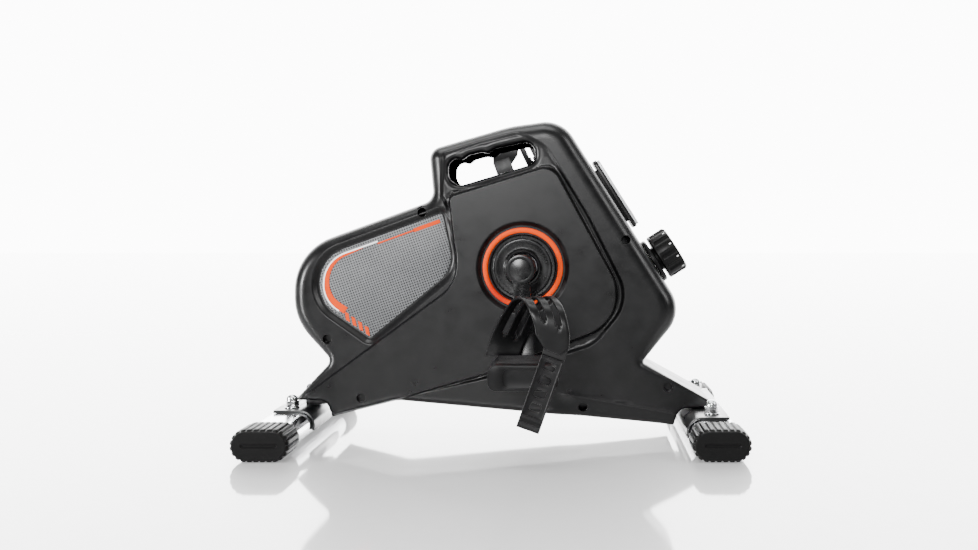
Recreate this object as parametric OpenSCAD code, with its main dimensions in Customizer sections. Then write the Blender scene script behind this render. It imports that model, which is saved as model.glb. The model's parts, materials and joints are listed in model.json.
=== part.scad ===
// Under-desk pedal exerciser with a belt-driven magnetic flywheel.
// +X points to the user, -Y is the user's left, +Z is up.
// The origin is on the floor, under the middle of the machine. All sizes are in millimetres.

/* [Shell] */
// Half width of the shell at its flat outer face
shell_half = 56; // [55:0.5:57]
// How far the main panel stands out of the shell face
panel_rise = 4; // [3:0.5:5]
// Depth of the side badge's recess
badge_recess = 6; // [5:0.5:6]
// Wall thickness of the plastic shell
wall = 2.5; // [2:0.1:2.8]
// Radius of the shell's rounded outer edge
edge_r = 14; // [10:1:15]

/* [Stabilisers] */
// Distance of each stabiliser's centre from the middle
foot_x = 221.5; // [221:0.5:222]
// Half length of a stabiliser over its end caps
stab_half = 190; // [180:1:200]
// Width of the stabiliser tube
tube_w = 50; // [48:1:51]
// Height of the stabiliser tube
tube_h = 26; // [25:0.5:27]
// Width of an end cap
cap_w = 57; // [56:0.5:58]
// Height of an end cap
cap_h = 32; // [31:0.5:33]
// Length of an end cap
cap_len = 57; // [50:1:62]
// Distance of the front bolts from the middle
front_bolt_y = 48; // [40:1:52]
// Distance of the rear bolts from the middle
rear_bolt_y = 91; // [80:1:96]

/* [Crank] */
// Crank axis position along X
crank_x = 25; // [24:0.5:26]
// Crank axis height
crank_z = 182; // [181:0.5:183]
// Length of a crank arm
crank_len = 97; // [93:1:99]
// Lean of the left arm from straight down
crank_lean = 4; // [0:1:10]
// Radius of the crank axle
axle_r = 8.5; // [8:0.1:8.6]
// Outer face of a crank arm
arm_out = 118; // [117:0.5:118]
// Thickness of a crank arm
arm_t = 15; // [13:0.5:16]
// Radius of the drive pulley
pulley_r = 70; // [66:1:71]

/* [Pedals] */
// Length of the pedal body along its spindle
pedal_len = 90; // [86:1:92]
// Width of the pedal body
pedal_w = 66; // [62:1:68]
// Height of the pedal body
pedal_h = 26; // [24:0.5:27]
// Height of the strap's arch above the spindle
arch_h = 71; // [66:1:74]
// Thickness of the strap
strap_t = 3.2; // [2.6:0.1:3.4]

/* [Flywheel] */
// Flywheel axis position along X
fly_x = -132; // [-133:0.5:-131]
// Flywheel axis height
fly_z = 158; // [157:0.5:159]
// Flywheel radius
fly_r = 50; // [46:0.5:50]
// Radius of the small belt pulley
small_r = 12; // [11.5:0.1:12.5]
// Swing of the magnet bracket from least to most resistance
magnet_swing = 5; // [4:0.5:5]

/* [Knob and console] */
// Radius of the tension knob
knob_r = 25.5; // [22:0.5:26]
// Length of the knob's grip
knob_len = 22; // [18:0.5:24]
// Length of the console along the sloping face
console_l = 84; // [80:1:86]
// Width of the console
console_w = 60; // [56:1:62]
// Travel of the console button
button_travel = 1; // [0.5:0.1:1.2]

/* [Hidden] */
$fn = 64;

BLACK = [0.07, 0.07, 0.075];
PANEL = [0.12, 0.12, 0.125];
ORANGE = [0.95, 0.35, 0.08];
STEEL = [0.75, 0.76, 0.78];
GREY = [0.45, 0.45, 0.46];
RUBBER = [0.04, 0.04, 0.045];

// Steps of the shell's rounded edge: inset, start and end as shares of its radius.
edge_steps = [[0.1, 0.2, 0.6], [0.3, 0.6, 0.85], [0.6, 0.85, 1]];
gap = 0.3;       // space between curved faces of two bodies
run = 0.05;      // radial clearance of a running fit
seat = 0.03;     // radial clearance of a part seated in the same body
eps = 1;         // overshoot of a cutting tool
panel_y = shell_half + panel_rise;
badge_y = shell_half - badge_recess;
cavity_y = shell_half - wall;
saddle_t = 3;
saddle_reach = 16;
tube_top = 3 + tube_h;
saddle_top = tube_top + saddle_t;

// ---- Outlines in the XZ plane. Each corner is [x, z, rounding radius, share of the edge rounding]. ----
top_corners = [
    [-76.5, 308, 14, 1], [10, 333, 150, 1], [66, 341, 35, 1], [197.4, 134.3, 35, 1], [152, 80.8, 3, 1]];
rear_end = [[224, 40.5, 4, 0.25], [224, 32.5, 1.5, 0.15], [190.5, 32.5, 12, 0.15]];
rear_hollow = [[206, 50.6, 2, 0.3], [206, 32.5, 2, 0.2], [190.5, 32.5, 4, 0.2]];
bottom_corners = [[185.5, 14, 1.5, 0.25], [-108.7, 40.7, 30, 0.5], [-178, 23.2, 1.5, 0.3]];
front_end = [[-182, 41.4, 12, 0.15], [-216.5, 41.2, 1.5, 0.2]];
front_hollow = [[-182, 41.4, 6, 0.2], [-203, 41.4, 2, 0.2], [-203, 56.3, 2, 0.3]];
front_corners = [
    [-179.5, 82.5, 8, 0.6], [-221, 125, 60, 1], [-221, 199.6, 60, 1], [-71.5, 254.2, 14, 1]];
shell_outline = concat(top_corners, rear_end, bottom_corners, front_end, front_corners);
hollow_outline = concat(top_corners, rear_hollow, bottom_corners, front_hollow, front_corners);
handle_hole = [[-54, 294.6, 12, 1], [37, 317.4, 11, 1], [38, 293.2, 11, 1], [-55.5, 265.2, 13, 1]];
panel_outline = [
    [-53, 257, 5, 1], [56, 290.5, 18, 1], [142.8, 130.2, 45, 1], [-13, 70, 60, 1],
    [-108.7, 42.5, 4, 1], [-174, 26.5, 2, 1], [-207, 45.5, 3, 1], [-43, 166, 40, 1]];
panel_pocket = [
    [-53, 257, 5, 1], [56, 290.5, 18, 1], [142.8, 130.2, 45, 1], [-13, 70, 60, 1],
    [-100, 60, 4, 1], [-100, 124, 4, 1], [-43, 166, 40, 1]];
badge_outline = [
    [-61, 240, 3, 1], [-48.5, 181, 30, 1], [-137.5, 107, 4, 1], [-193, 146, 36, 1], [-190, 193, 38, 1]];
beam_outline = [
    [-213, 32, 1, 1], [-213, 37, 1, 1], [-178, 70, 4, 1], [-165, 74, 6, 1], [148, 74, 8, 1],
    [221, 36, 1, 1], [221, 32, 1, 1], [190, 32, 1, 1], [166, 52, 8, 1], [-165, 52, 8, 1], [-192, 32, 1, 1]];
beam_bore = [
    [-210, 31, 1, 1], [-210, 36, 1, 1], [-177, 67, 3, 1], [-164, 71, 4, 1], [147, 71, 6, 1],
    [218, 34, 1, 1], [218, 31, 1, 1], [193, 31, 1, 1], [168, 55, 8, 1], [-166, 55, 8, 1], [-194, 31, 1, 1]];

// Screws that join the two shell halves, and screws that hold each half to the beam.
joint_screws = [[-82.6, 240.7], [-183, 105.8], [-145.9, 43.9], [88.5, 33.5], [134.2, 211.3]];
frame_screws = [[179.1, 55.3]];

function unit(v) = v / norm(v);
function side(a, b, c) = sign((b[0] - a[0]) * (c[1] - b[1]) - (b[1] - a[1]) * (c[0] - b[0]));
function flat(p) = [p[0], p[1]];
function bisector(a, b, c) = unit(unit(a - b) + unit(c - b));
function half_angle(a, b, c) = acos(unit(a - b) * unit(c - b)) / 2;

// Segments of a rounded corner, one for each 22 degrees of its turn.
function arc_steps(c, i) = let (n = len(c)) c[i][2] < 2 ? 1
    : ceil((180 - 2 * half_angle(flat(c[(i + n - 1) % n]), flat(c[i]), flat(c[(i + 1) % n]))) / 22);

// A clockwise outline moved inward by base, plus edge times each corner's own share.
function inset(c, base, edge = 0) = let (n = len(c)) [
    for (i = [0:n - 1])
        let (
            a = flat(c[(i + n - 1) % n]), b = flat(c[i]), e = flat(c[(i + 1) % n]),
            turn = side(a, b, e), d = base + edge * c[i][3],
            p = b - bisector(a, b, e) * turn * d / sin(half_angle(a, b, e)))
        [p[0], p[1], max(c[i][2] + turn * d, 0.4), c[i][3], arc_steps(c, i)]];

// The points of an outline whose corners are rounded. A fifth value of a corner fixes its segments.
function rounded(c) = let (n = len(c)) [
    for (i = [0:n - 1])
        let (
            a = flat(c[(i + n - 1) % n]), b = flat(c[i]), e = flat(c[(i + 1) % n]),
            r = c[i][2], half = half_angle(a, b, e), centre = b + bisector(a, b, e) * r / sin(half),
            reach = r / tan(half), from = b + unit(a - b) * reach - centre,
            sweep = side(a, b, e) * (180 - 2 * half), steps = len(c[i]) > 4 ? c[i][4] : arc_steps(c, i))
        for (k = [0:steps])
            let (t = sweep * k / steps)
            centre + [from[0] * cos(t) - from[1] * sin(t), from[0] * sin(t) + from[1] * cos(t)]];

// A solid skinned over rings that all have the same number of points.
module skin(rings) {
    n = len(rings[0]);
    last = len(rings) - 1;
    polyhedron(
        points = [for (ring = rings) for (p = ring) p],
        faces = concat(
            [[for (i = [n - 1:-1:0]) i]],
            [for (k = [0:last - 1]) for (i = [0:n - 1])
                [k * n + i, k * n + (i + 1) % n, (k + 1) * n + (i + 1) % n, (k + 1) * n + i]],
            [[for (i = [0:n - 1]) last * n + i]]),
        convexity = 8);
}

// Half of a case, from y = start out to its face at y = -face, with its edge stepped to a rounding of r.
module half_body(corners, base, start, face, r) {
    slab(inset(corners, base, 0), r - face - r * 0.2, -start);
    for (step = edge_steps)
        slab(inset(corners, base, r * step[0]), r * (1 - step[2]) - face, r * (1 - step[1]) - face + eps / 2);
}

module slab(corners, y0, y1) {
    translate([0, y1, 0]) rotate([90, 0, 0]) linear_extrude(y1 - y0) polygon(rounded(corners));
}

module rod_y(x, z, r, y0, y1) {
    translate([x, y1, z]) rotate([90, 0, 0]) cylinder(r = r, h = y1 - y0);
}

module block(x0, x1, y0, y1, z0, z1) {
    translate([x0, y0, z0]) cube([x1 - x0, y1 - y0, z1 - z0]);
}

// A profile [radius, y] turned about the Y axis through (x, z).
module turned_y(x, z, profile) {
    translate([x, 0, z]) rotate([-90, 0, 0]) rotate_extrude() polygon(profile);
}

// ---- Shell ----
hub_r = 46;
trim_r = [36.5, 42.9];
collar_r = [15.6, 18.7];
hub_floor = shell_half;
boss_r = 6;
well_r = 4.6;
well_floor = 14;
frame_well = 32;
beam_half = 20;
screw_r = 1.95;
screw_hole_r = 2.05;

slope_angle = atan2(0.845, 0.535);
knob_at = [165.5, 0, 186.5];
console_at = [121.6, 0, 260];
module on_knob() { translate(knob_at) rotate([0, slope_angle, 0]) children(); }
module on_console() { translate(console_at) rotate([0, slope_angle, 0]) children(); }

console_well_l = 66;
console_well_w = 44;
console_depth = 9;
knob_hole_r = 6;

module shell_half_solid() {
    difference() {
        union() {
            half_body(shell_outline, 0, 0, shell_half, edge_r);
            slab(inset(panel_outline, 0), -panel_y, -shell_half + eps);
        }
        difference() {
            half_body(hollow_outline, wall, -eps, cavity_y, edge_r - wall);
            slab(inset(badge_outline, -5 - wall), -shell_half, -badge_y + wall);
            slab(inset(handle_hole, -wall), -shell_half, eps * 2);
            rod_y(crank_x, crank_z, hub_r + wall, -panel_y, -hub_floor + wall);
            for (s = joint_screws) rod_y(s[0], s[1], boss_r, -panel_y, 2 * eps);
            for (s = frame_screws) rod_y(s[0], s[1], boss_r, -panel_y, -beam_half - gap);
        }
        difference() {
            slab(inset(panel_pocket, 5), -panel_y + wall, -cavity_y + eps);
            rod_y(crank_x, crank_z, hub_r + wall, -panel_y, 0);
        }
        slab(inset(badge_outline, -5), -panel_y - eps, -badge_y);
        slab(handle_hole, -panel_y - eps, eps);
        rod_y(crank_x, crank_z, hub_r, -panel_y - eps, -hub_floor);
        rod_y(crank_x, crank_z, 17, -panel_y, 0);
        slab(inset(beam_outline, -0.6), -beam_half - 0.5, eps);
        on_console() translate([-console_well_l / 2, -console_well_w / 2, -20])
            cube([console_well_l, console_well_w, 30]);
        on_knob() translate([0, 0, -20]) cylinder(r = knob_hole_r, h = 40);
        for (s = frame_screws) {
            rod_y(s[0], s[1], well_r, -panel_y - eps, -frame_well);
            rod_y(s[0], s[1], screw_hole_r, -frame_well - eps, 0);
        }
    }
}

module left_shell() color(BLACK) {
    difference() {
        shell_half_solid();
        for (s = joint_screws) {
            rod_y(s[0], s[1], well_r, -panel_y - eps, -well_floor);
            rod_y(s[0], s[1], screw_hole_r, -well_floor - eps, eps);
        }
    }
}

module right_shell() color(BLACK) mirror([0, 1, 0]) {
    difference() {
        shell_half_solid();
        for (s = joint_screws) rod_y(s[0], s[1], screw_hole_r, -well_floor - 2, eps);
    }
}

module screw(x, z, from, to) {
    rod_y(x, z, screw_r, from, to);
    rod_y(x, z, 4, from - 2.5, from);
}

module shell_screws() color(STEEL) {
    for (s = joint_screws) screw(s[0], s[1], -well_floor, well_floor);
    for (s = frame_screws) {
        screw(s[0], s[1], -frame_well, -beam_half + 8);
        mirror([0, 1, 0]) screw(s[0], s[1], -frame_well, -beam_half + 8);
    }
}

module ring_trim() {
    turned_y(crank_x, crank_z, [
        [trim_r[0], -hub_floor], [trim_r[0], -hub_floor - 2.4], [trim_r[0] + 1, -hub_floor - 3],
        [trim_r[1] - 1, -hub_floor - 3], [trim_r[1], -hub_floor - 2.4], [trim_r[1], -hub_floor]]);
}
module left_ring_trim() color(ORANGE) ring_trim();
module right_ring_trim() color(ORANGE) mirror([0, 1, 0]) ring_trim();

collar_y = 66;
module hub_cover() {
    turned_y(crank_x, crank_z, [
        [collar_r[0], -hub_floor], [collar_r[0], -collar_y], [collar_r[1] - 1, -collar_y],
        [collar_r[1], -collar_y + 1], [collar_r[1] + 1, -hub_floor - 1.2], [28, -hub_floor - 1.2],
        [30.5, -hub_floor - 3.4], [trim_r[0] - 0.5, -hub_floor - 3.4], [trim_r[0] - 0.5, -hub_floor]]);
}
module left_hub_cover() color(BLACK) hub_cover();
module right_hub_cover() color(BLACK) mirror([0, 1, 0]) hub_cover();

module badge() slab(inset(badge_outline, 0), -badge_y - 1.2, -badge_y);
module left_badge() color(GREY) badge();
module right_badge() color(GREY) mirror([0, 1, 0]) badge();

// ---- Frame ----
bb_r = 21;
bearing_r = 17.5;
bb_y = [-20, 36];
bearing_w = 10;
beam_top = 74;
lug_y = [-41, -38, 20, 23];
idler_y = [-20, -16];
fly_axle_r = 5;
pin_r = 3;
pin_z = fly_z - 60;
belt_y = [-35, -27];
belt_t = 2.5;
centre_line = [crank_x - fly_x, crank_z - fly_z];
centre_dist = norm(centre_line);
centre_tilt = atan2(centre_line[1], centre_line[0]);
wrap = acos((small_r - pulley_r) / centre_dist);
idler_r = 12;
idler_bolt_r = 4;
// The idler stands under the lower run of the belt.
run_dir = centre_tilt - wrap;
idler_share = 0.4;
idler_at = [fly_x, fly_z] + centre_line * idler_share
    + [cos(run_dir), sin(run_dir)]
        * (small_r + (pulley_r - small_r) * idler_share + gap + belt_t + gap + idler_r);

module lug(y0, y1) {
    difference() {
        union() {
            block(fly_x - 14, fly_x + 14, y0, y1, beam_top - 20, fly_z);
            rod_y(fly_x, fly_z, 14, y0, y1);
        }
        rod_y(fly_x, fly_z, fly_axle_r + seat, y0 - eps, y1 + eps);
        rod_y(fly_x, pin_z, pin_r + seat, y0 - eps, y1 + eps);
    }
}

module main_frame() color(BLACK) {
    difference() {
        union() {
            difference() {
                slab(beam_outline, -beam_half, beam_half);
                slab(beam_bore, -beam_half + 3, beam_half - 3);
            }
            block(crank_x - 18, crank_x + 18, -15, 15, beam_top - 1, crank_z - bb_r + 6);
            rod_y(crank_x, crank_z, bb_r, bb_y[0], bb_y[1]);
            block(idler_at[0] - 8, idler_at[0] + 8, idler_y[0], idler_y[1], beam_top - 3, idler_at[1] + 8);
            block(fly_x - 14, fly_x + 14, lug_y[0], -beam_half + 1, beam_top - 20, beam_top - 16);
        }
        rod_y(crank_x, crank_z, bearing_r, bb_y[0] - eps, bb_y[1] + eps);
        rod_y(idler_at[0], idler_at[1], idler_bolt_r + seat, idler_y[0] - eps, idler_y[1] + eps);
        for (s = frame_screws) rod_y(s[0], s[1], screw_r + seat, -beam_half - eps, beam_half + eps);
    }
    lug(lug_y[0], lug_y[1]);
    lug(lug_y[2] - 0.5, lug_y[3]);
}

// A plate over the tube, with its inner edge wrapped down round the tube. sx is -1 at the front.
module saddle(sx, half, bolt_y) {
    bend = tube_h / 2 + 0.3;
    mid = 3 + tube_h / 2;
    inner = foot_x - tube_w / 2 + tube_h / 2;
    sweep = [for (k = [0:8]) 90 + 110 * k / 8];
    outer_arc = [for (a = sweep) [inner, mid] + (tube_h / 2 + saddle_t) * [cos(a), sin(a)]];
    inner_arc = [for (k = [8:-1:1]) [inner, mid] + bend * [cos(sweep[k]), sin(sweep[k])]];
    edge = foot_x + saddle_reach;
    plate = concat([[edge, saddle_top]], outer_arc, inner_arc, [[inner, tube_top], [edge, tube_top]]);
    difference() {
        mirror([sx < 0 ? 1 : 0, 0, 0])
            translate([0, half, 0]) rotate([90, 0, 0]) linear_extrude(2 * half) polygon(plate);
        for (s = [-1, 1]) translate([sx * foot_x, s * bolt_y, 0]) cylinder(r = 4 + seat, h = 60);
    }
}
front_saddle_half = 66;
rear_saddle_half = 113;
module front_saddle() color(BLACK) saddle(-1, front_saddle_half, front_bolt_y);
module rear_saddle() color(BLACK) saddle(1, rear_saddle_half, rear_bolt_y);

// ---- Stabilisers ----
function oval(w, h) = [
    [-w / 2, h / 2, h / 2 - 0.01, 1], [w / 2, h / 2, h / 2 - 0.01, 1],
    [w / 2, -h / 2, h / 2 - 0.01, 1], [-w / 2, -h / 2, h / 2 - 0.01, 1]];
module oval_bar(x, z, w, h, y0, y1) translate([x, 0, z]) slab(oval(w, h), y0, y1);

tube_wall = 1.8;
tube_end = stab_half - 5;
module stabilizer(x, bolt_y) {
    mid = 3 + tube_h / 2;
    difference() {
        oval_bar(x, mid, tube_w, tube_h, -tube_end, tube_end);
        oval_bar(x, mid, tube_w - 2 * tube_wall, tube_h - 2 * tube_wall, -tube_end - eps, tube_end + eps);
        for (s = [-1, 1]) translate([x, s * bolt_y, 0]) cylinder(r = 4 + seat, h = 60);
    }
}
module front_stabilizer() color(STEEL) stabilizer(-foot_x, front_bolt_y);
module rear_stabilizer() color(STEEL) stabilizer(foot_x, rear_bolt_y);

// An end cap on the tube's end at -Y, with ribs along its top and bottom and a slot in its face.
rib_count = 9;
module end_cap(x) {
    mid = 3 + tube_h / 2;
    difference() {
        union() {
            oval_bar(x, cap_h / 2, cap_w, cap_h, -stab_half + 2, -stab_half + cap_len);
            oval_bar(x, cap_h / 2, cap_w - 3, cap_h - 3, -stab_half, -stab_half + 2 + eps);
        }
        oval_bar(x, mid, tube_w + 2 * seat, tube_h + 2 * seat, -tube_end, stab_half);
        block(x - 17, x + 17, -stab_half - eps, -stab_half + 1.2, cap_h / 2 - 2, cap_h / 2 + 2);
        for (k = [0:rib_count - 1])
            translate([x + (k - (rib_count - 1) / 2) * 3.6, -stab_half + 8, cap_h - 0.8]) cube([1.4, 34, 2]);
    }
}
module front_left_cap() color(RUBBER) end_cap(-foot_x);
module rear_left_cap() color(RUBBER) end_cap(foot_x);
module front_right_cap() color(RUBBER) mirror([0, 1, 0]) end_cap(-foot_x);
module rear_right_cap() color(RUBBER) mirror([0, 1, 0]) end_cap(foot_x);

bolt_places = [
    for (s = [-1, 1]) [-foot_x, s * front_bolt_y, 0],
    for (s = [-1, 1]) [foot_x, s * rear_bolt_y, 0]];
module carriage_bolts() color(STEEL) {
    for (p = bolt_places) translate(p) {
        translate([0, 0, 0.4]) cylinder(r = 9, h = 2.55);
        translate([0, 0, 0.4]) cylinder(r = 4, h = 40.6);
    }
}
module bolt_washers() color(STEEL) {
    for (p = bolt_places) translate(p + [0, 0, saddle_top]) difference() {
        cylinder(r = 8, h = 1.5);
        translate([0, 0, -eps]) cylinder(r = 4 + seat, h = 4);
    }
}
module domed_nuts() color(STEEL) {
    for (p = bolt_places) translate(p + [0, 0, saddle_top + 1.5]) difference() {
        union() {
            cylinder(r = 7.5, h = 6.5, $fn = 6);
            rotate_extrude() polygon([
                [0, 0], [6, 0], [6, 8.5], for (a = [10:10:90]) [6 * cos(a), 8.5 + 5 * sin(a)]]);
        }
        translate([0, 0, -eps]) cylinder(r = 4 + seat, h = 9);
    }
}

// ---- Crank ----
module crank_bearing(y0) {
    difference() {
        rod_y(crank_x, crank_z, bearing_r - seat, y0, y0 + bearing_w);
        rod_y(crank_x, crank_z, axle_r + run, y0 - eps, y0 + bearing_w + eps);
    }
}
module left_crank_bearing() color(STEEL) crank_bearing(bb_y[0]);
module right_crank_bearing() color(STEEL) crank_bearing(bb_y[1] - bearing_w);

axle_end = 104;
bolt_r = 4;
module crank_axle() color(STEEL) difference() {
    rod_y(crank_x, crank_z, axle_r, -axle_end, axle_end);
    for (s = [-1, 1]) rod_y(crank_x, crank_z, bolt_r + seat, s * axle_end - 16, s * axle_end + 16);
}

pulley_y = [-36, -26];
magnet_at = [55 * cos(120), 55 * sin(120)];
module drive_pulley() color(GREY) difference() {
    turned_y(crank_x, crank_z, [
        [axle_r + seat, pulley_y[0]], [16, pulley_y[0]], [16, -33], [62, -33], [62, pulley_y[0]],
        [pulley_r, pulley_y[0]], [pulley_r, pulley_y[1]], [62, pulley_y[1]], [62, -29], [16, -29],
        [16, -22], [axle_r + seat, -22]]);
    for (a = [0:72:288])
        rod_y(crank_x + 38 * cos(a), crank_z + 38 * sin(a), 11, pulley_y[0], pulley_y[1]);
}
module speed_magnet() color(STEEL)
    rod_y(crank_x + magnet_at[0], crank_z + magnet_at[1], 4, -29, -25);

arm_in = arm_out - arm_t;
arm_boss_r = 14.8;
arm_w = 17;
spindle_r = 7;
pedal_eye_r = 12;
// Crank arm pointing straight down from the crank axis, on the left side.
module crank_arm() {
    difference() {
        union() {
            rod_y(0, 0, arm_boss_r, -arm_out, -collar_y - 4);
            block(-arm_w / 2, arm_w / 2, -arm_out + 1.5, -arm_in - 1, -crank_len, 0);
            rod_y(0, -crank_len, pedal_eye_r, -arm_out, -arm_in);
        }
        rod_y(0, 0, axle_r + seat, -axle_end - seat, -20);
        rod_y(0, 0, bolt_r + seat, -arm_out, -20);
        rod_y(0, 0, 10.2, -arm_out - eps, -arm_out + 6);
        rod_y(0, -crank_len, spindle_r + seat, -arm_out - eps, -arm_in + eps);
    }
}
module at_left_arm() { translate([crank_x, 0, crank_z]) rotate([0, -crank_lean, 0]) children(); }
module at_right_arm() {
    translate([crank_x, 0, crank_z]) rotate([0, 180 - crank_lean, 0]) mirror([0, 1, 0]) children();
}
module left_crank_arm() color(BLACK) at_left_arm() crank_arm();
module right_crank_arm() color(BLACK) at_right_arm() crank_arm();

module crank_bolt() {
    rod_y(0, 0, bolt_r, -arm_out + 6, -axle_end + 15);
    rod_y(0, 0, 8, -arm_out + 1, -arm_out + 6);
}
module crank_bolts() color(STEEL) {
    at_left_arm() crank_bolt();
    at_right_arm() crank_bolt();
}
module dust_cap() {
    difference() {
        union() {
            rod_y(0, 0, 10.1, -arm_out - eps, -arm_out + 5.9);
            rod_y(0, 0, 10.6, -arm_out - 2, -arm_out);
        }
        rod_y(0, 0, 8.1, -arm_out + 0.9, -arm_out + 7);
    }
}
module crank_dust_caps() color(BLACK) {
    at_left_arm() dust_cap();
    at_right_arm() dust_cap();
}

// ---- Pedals ----
left_spindle_at = [crank_x + crank_len * sin(crank_lean), crank_z - crank_len * cos(crank_lean)];
right_spindle_at = [2 * crank_x - left_spindle_at[0], 2 * crank_z - left_spindle_at[1]];
pedal_in = arm_out + 6;
pedal_out = pedal_in + pedal_len;
pin_spindle_r = 5;
module at_left_pedal() { translate([left_spindle_at[0], 0, left_spindle_at[1]]) children(); }
module at_right_pedal() {
    translate([right_spindle_at[0], 0, right_spindle_at[1]]) rotate([0, 0, 180]) children();
}

module spindle() {
    rod_y(0, 0, spindle_r, -arm_out, -arm_in);
    rod_y(0, 0, 9, -arm_out - 4, -arm_out);
    rod_y(0, 0, pin_spindle_r, -pedal_out + 12, -arm_out);
}
module left_spindle() color(STEEL) at_left_pedal() spindle();
module right_spindle() color(STEEL) at_right_pedal() spindle();

pedal_bottom = -14.2;
pedal_top = pedal_bottom + pedal_h;
function pedal_section(w, h, r) = let (m = (pedal_bottom + pedal_top) / 2) [
    [-w / 2, m + h / 2, r, 1], [w / 2, m + h / 2, r, 1], [w / 2, m - h / 2, r, 1], [-w / 2, m - h / 2, r, 1]];
tread_count = 9;
module pedal_body() {
    difference() {
        union() {
            slab(pedal_section(pedal_w, pedal_h - 2, 8), -pedal_out, -pedal_in);
            for (k = [0:tread_count - 1])
                block(-26, 26, -pedal_in - 14 - k * 7.4, -pedal_in - 11 - k * 7.4, pedal_top - 2, pedal_top);
        }
        rod_y(0, 0, pin_spindle_r + run, -pedal_out + 11.9, -pedal_in + eps);
        for (s = [-1, 1])
            block(s * 20 - 9, s * 20 + 9, -pedal_out + 8, -pedal_in - 8, pedal_bottom - eps, pedal_top - 5);
    }
}
module left_pedal() color(BLACK) at_left_pedal() pedal_body();
module right_pedal() color(BLACK) at_right_pedal() pedal_body();

cap_t = 3.5;
peg = [10, 3.4, 6.5];
peg_at = 23;
tail_tilt = 19.5;
tail_root = [28.5, 19];
module along_tail() { translate([tail_root[0], 0, tail_root[1]]) rotate([0, tail_tilt, 0]) children(); }
module pedal_cap() {
    difference() {
        slab(pedal_section(pedal_w, pedal_h - 2, 8), -pedal_out - cap_t, -pedal_out);
        slab(pedal_section(38, 18, 6), -pedal_out - cap_t - eps, -pedal_out - cap_t + 1);
    }
    along_tail() translate([-peg[0] / 2, -pedal_out - cap_t - peg[1], -peg_at - peg[2] / 2])
        cube([peg[0], peg[1] + 1.5, peg[2]]);
}
module left_pedal_cap() color(PANEL) at_left_pedal() pedal_cap();
module right_pedal_cap() color(PANEL) at_right_pedal() pedal_cap();

// The strap is one band: an oblique arch over the foot, then a slotted tail down the pedal's end.
strap_y = [-pedal_in - 3, -pedal_out - cap_t - 2.2];
strap_x = [-24, 28.5];
strap_w = 38;
tail_w = 22;
tail_len = 72;
slot_pitch = 13.3;
arch_steps = 18;
arch_foot = pedal_top - 1;
function blend(a, b, t) = a + (b - a) * t;
function smooth(t) = t * t * (3 - 2 * t);
function arch_at(t) = let (a = 180 * t, lift = pow(sin(a), 0.8)) [
    blend(strap_x[0], strap_x[1], t),
    blend(strap_y[0], strap_y[1], (1 - cos(a)) / 2),
    blend(arch_foot, tail_root[1], smooth(t)) + (arch_h - 14) * lift * (1 - 0.12 * t)];
function band_section(at, along, w) = let (
        wide = unit([1, 0, -0.32 * max(0, -along[2]) * (at[1] < -pedal_out ? 1 : 0)]),
        out = unit(cross(wide, along)))
    [at - wide * w / 2 - out * strap_t / 2, at + wide * w / 2 - out * strap_t / 2,
     at + wide * w / 2 + out * strap_t / 2, at - wide * w / 2 + out * strap_t / 2];
module strap() {
    stations = [for (k = [0:arch_steps]) let (
        t = k / arch_steps, d = 0.01,
        along = k == 0 ? [0, 0, 1] : k == arch_steps ? [0, 0, -1]
            : unit(arch_at(min(1, t + d)) - arch_at(max(0, t - d))))
        band_section(arch_at(t), along, blend(strap_w, tail_w, smooth(max(0, (t - 0.55) / 0.45))))];
    difference() {
        skin(stations);
        block(-60, 60, -pedal_out - 10, -pedal_in + 10, pedal_bottom, arch_foot);
    }
    difference() {
        along_tail() translate([-tail_w / 2, strap_y[1] - strap_t / 2, -tail_len])
            cube([tail_w, strap_t, tail_len + 3]);
        for (k = [0:3]) along_tail()
            translate([-peg[0] / 2 - 0.4, strap_y[1] - 5, -peg_at - peg[2] / 2 - 0.4 + (1 - k) * slot_pitch])
                cube([peg[0] + 0.8, 10, peg[2] + 0.8]);
    }
}
module left_strap() color(BLACK) at_left_pedal() strap();
module right_strap() color(BLACK) at_right_pedal() strap();

// ---- Flywheel, belt and brake ----
module flywheel_axle() color(STEEL) rod_y(fly_x, fly_z, fly_axle_r, -46, 29);
module axle_nuts() color(STEEL) {
    for (y = [lug_y[0] - 5, lug_y[3]]) difference() {
        translate([fly_x, y + 5, fly_z]) rotate([90, 0, 0]) cylinder(r = 9.2, h = 5, $fn = 6);
        rod_y(fly_x, fly_z, fly_axle_r + seat, y - eps, y + 6);
    }
}
race_r = 11;
module flywheel() color(STEEL) difference() {
    turned_y(fly_x, fly_z, [
        [fly_axle_r + 0.6, pulley_y[0]], [small_r, pulley_y[0]], [small_r, pulley_y[1]], [18, pulley_y[1] + 2],
        [18, -4], [36, -4], [36, -10], [fly_r, -10], [fly_r, 12], [36, 12], [36, 6], [18, 6], [18, 16],
        [race_r + seat, 16], [race_r + seat, 6], [fly_axle_r + 0.6, 6]]);
    rod_y(fly_x, fly_z, race_r + seat, -26, -18);
}
module flywheel_bearings() color(STEEL)
    turned_y(fly_x, fly_z, [
        [fly_axle_r + run, 7], [race_r, 7], [race_r, 15], [fly_axle_r + run, 15]]);

function belt_loop(extra) = [
    for (k = [0:24]) let (a = centre_tilt - wrap + 2 * wrap * k / 24)
        [crank_x + (pulley_r + extra) * cos(a), crank_z + (pulley_r + extra) * sin(a)],
    for (k = [0:10]) let (a = centre_tilt + wrap + (360 - 2 * wrap) * k / 10)
        [fly_x + (small_r + extra) * cos(a), fly_z + (small_r + extra) * sin(a)]];
module drive_belt() color(RUBBER)
    translate([0, belt_y[1], 0]) rotate([90, 0, 0]) linear_extrude(belt_y[1] - belt_y[0]) difference() {
        polygon(belt_loop(gap + 0.4 + belt_t));
        polygon(belt_loop(gap + 0.4));
    }

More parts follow.
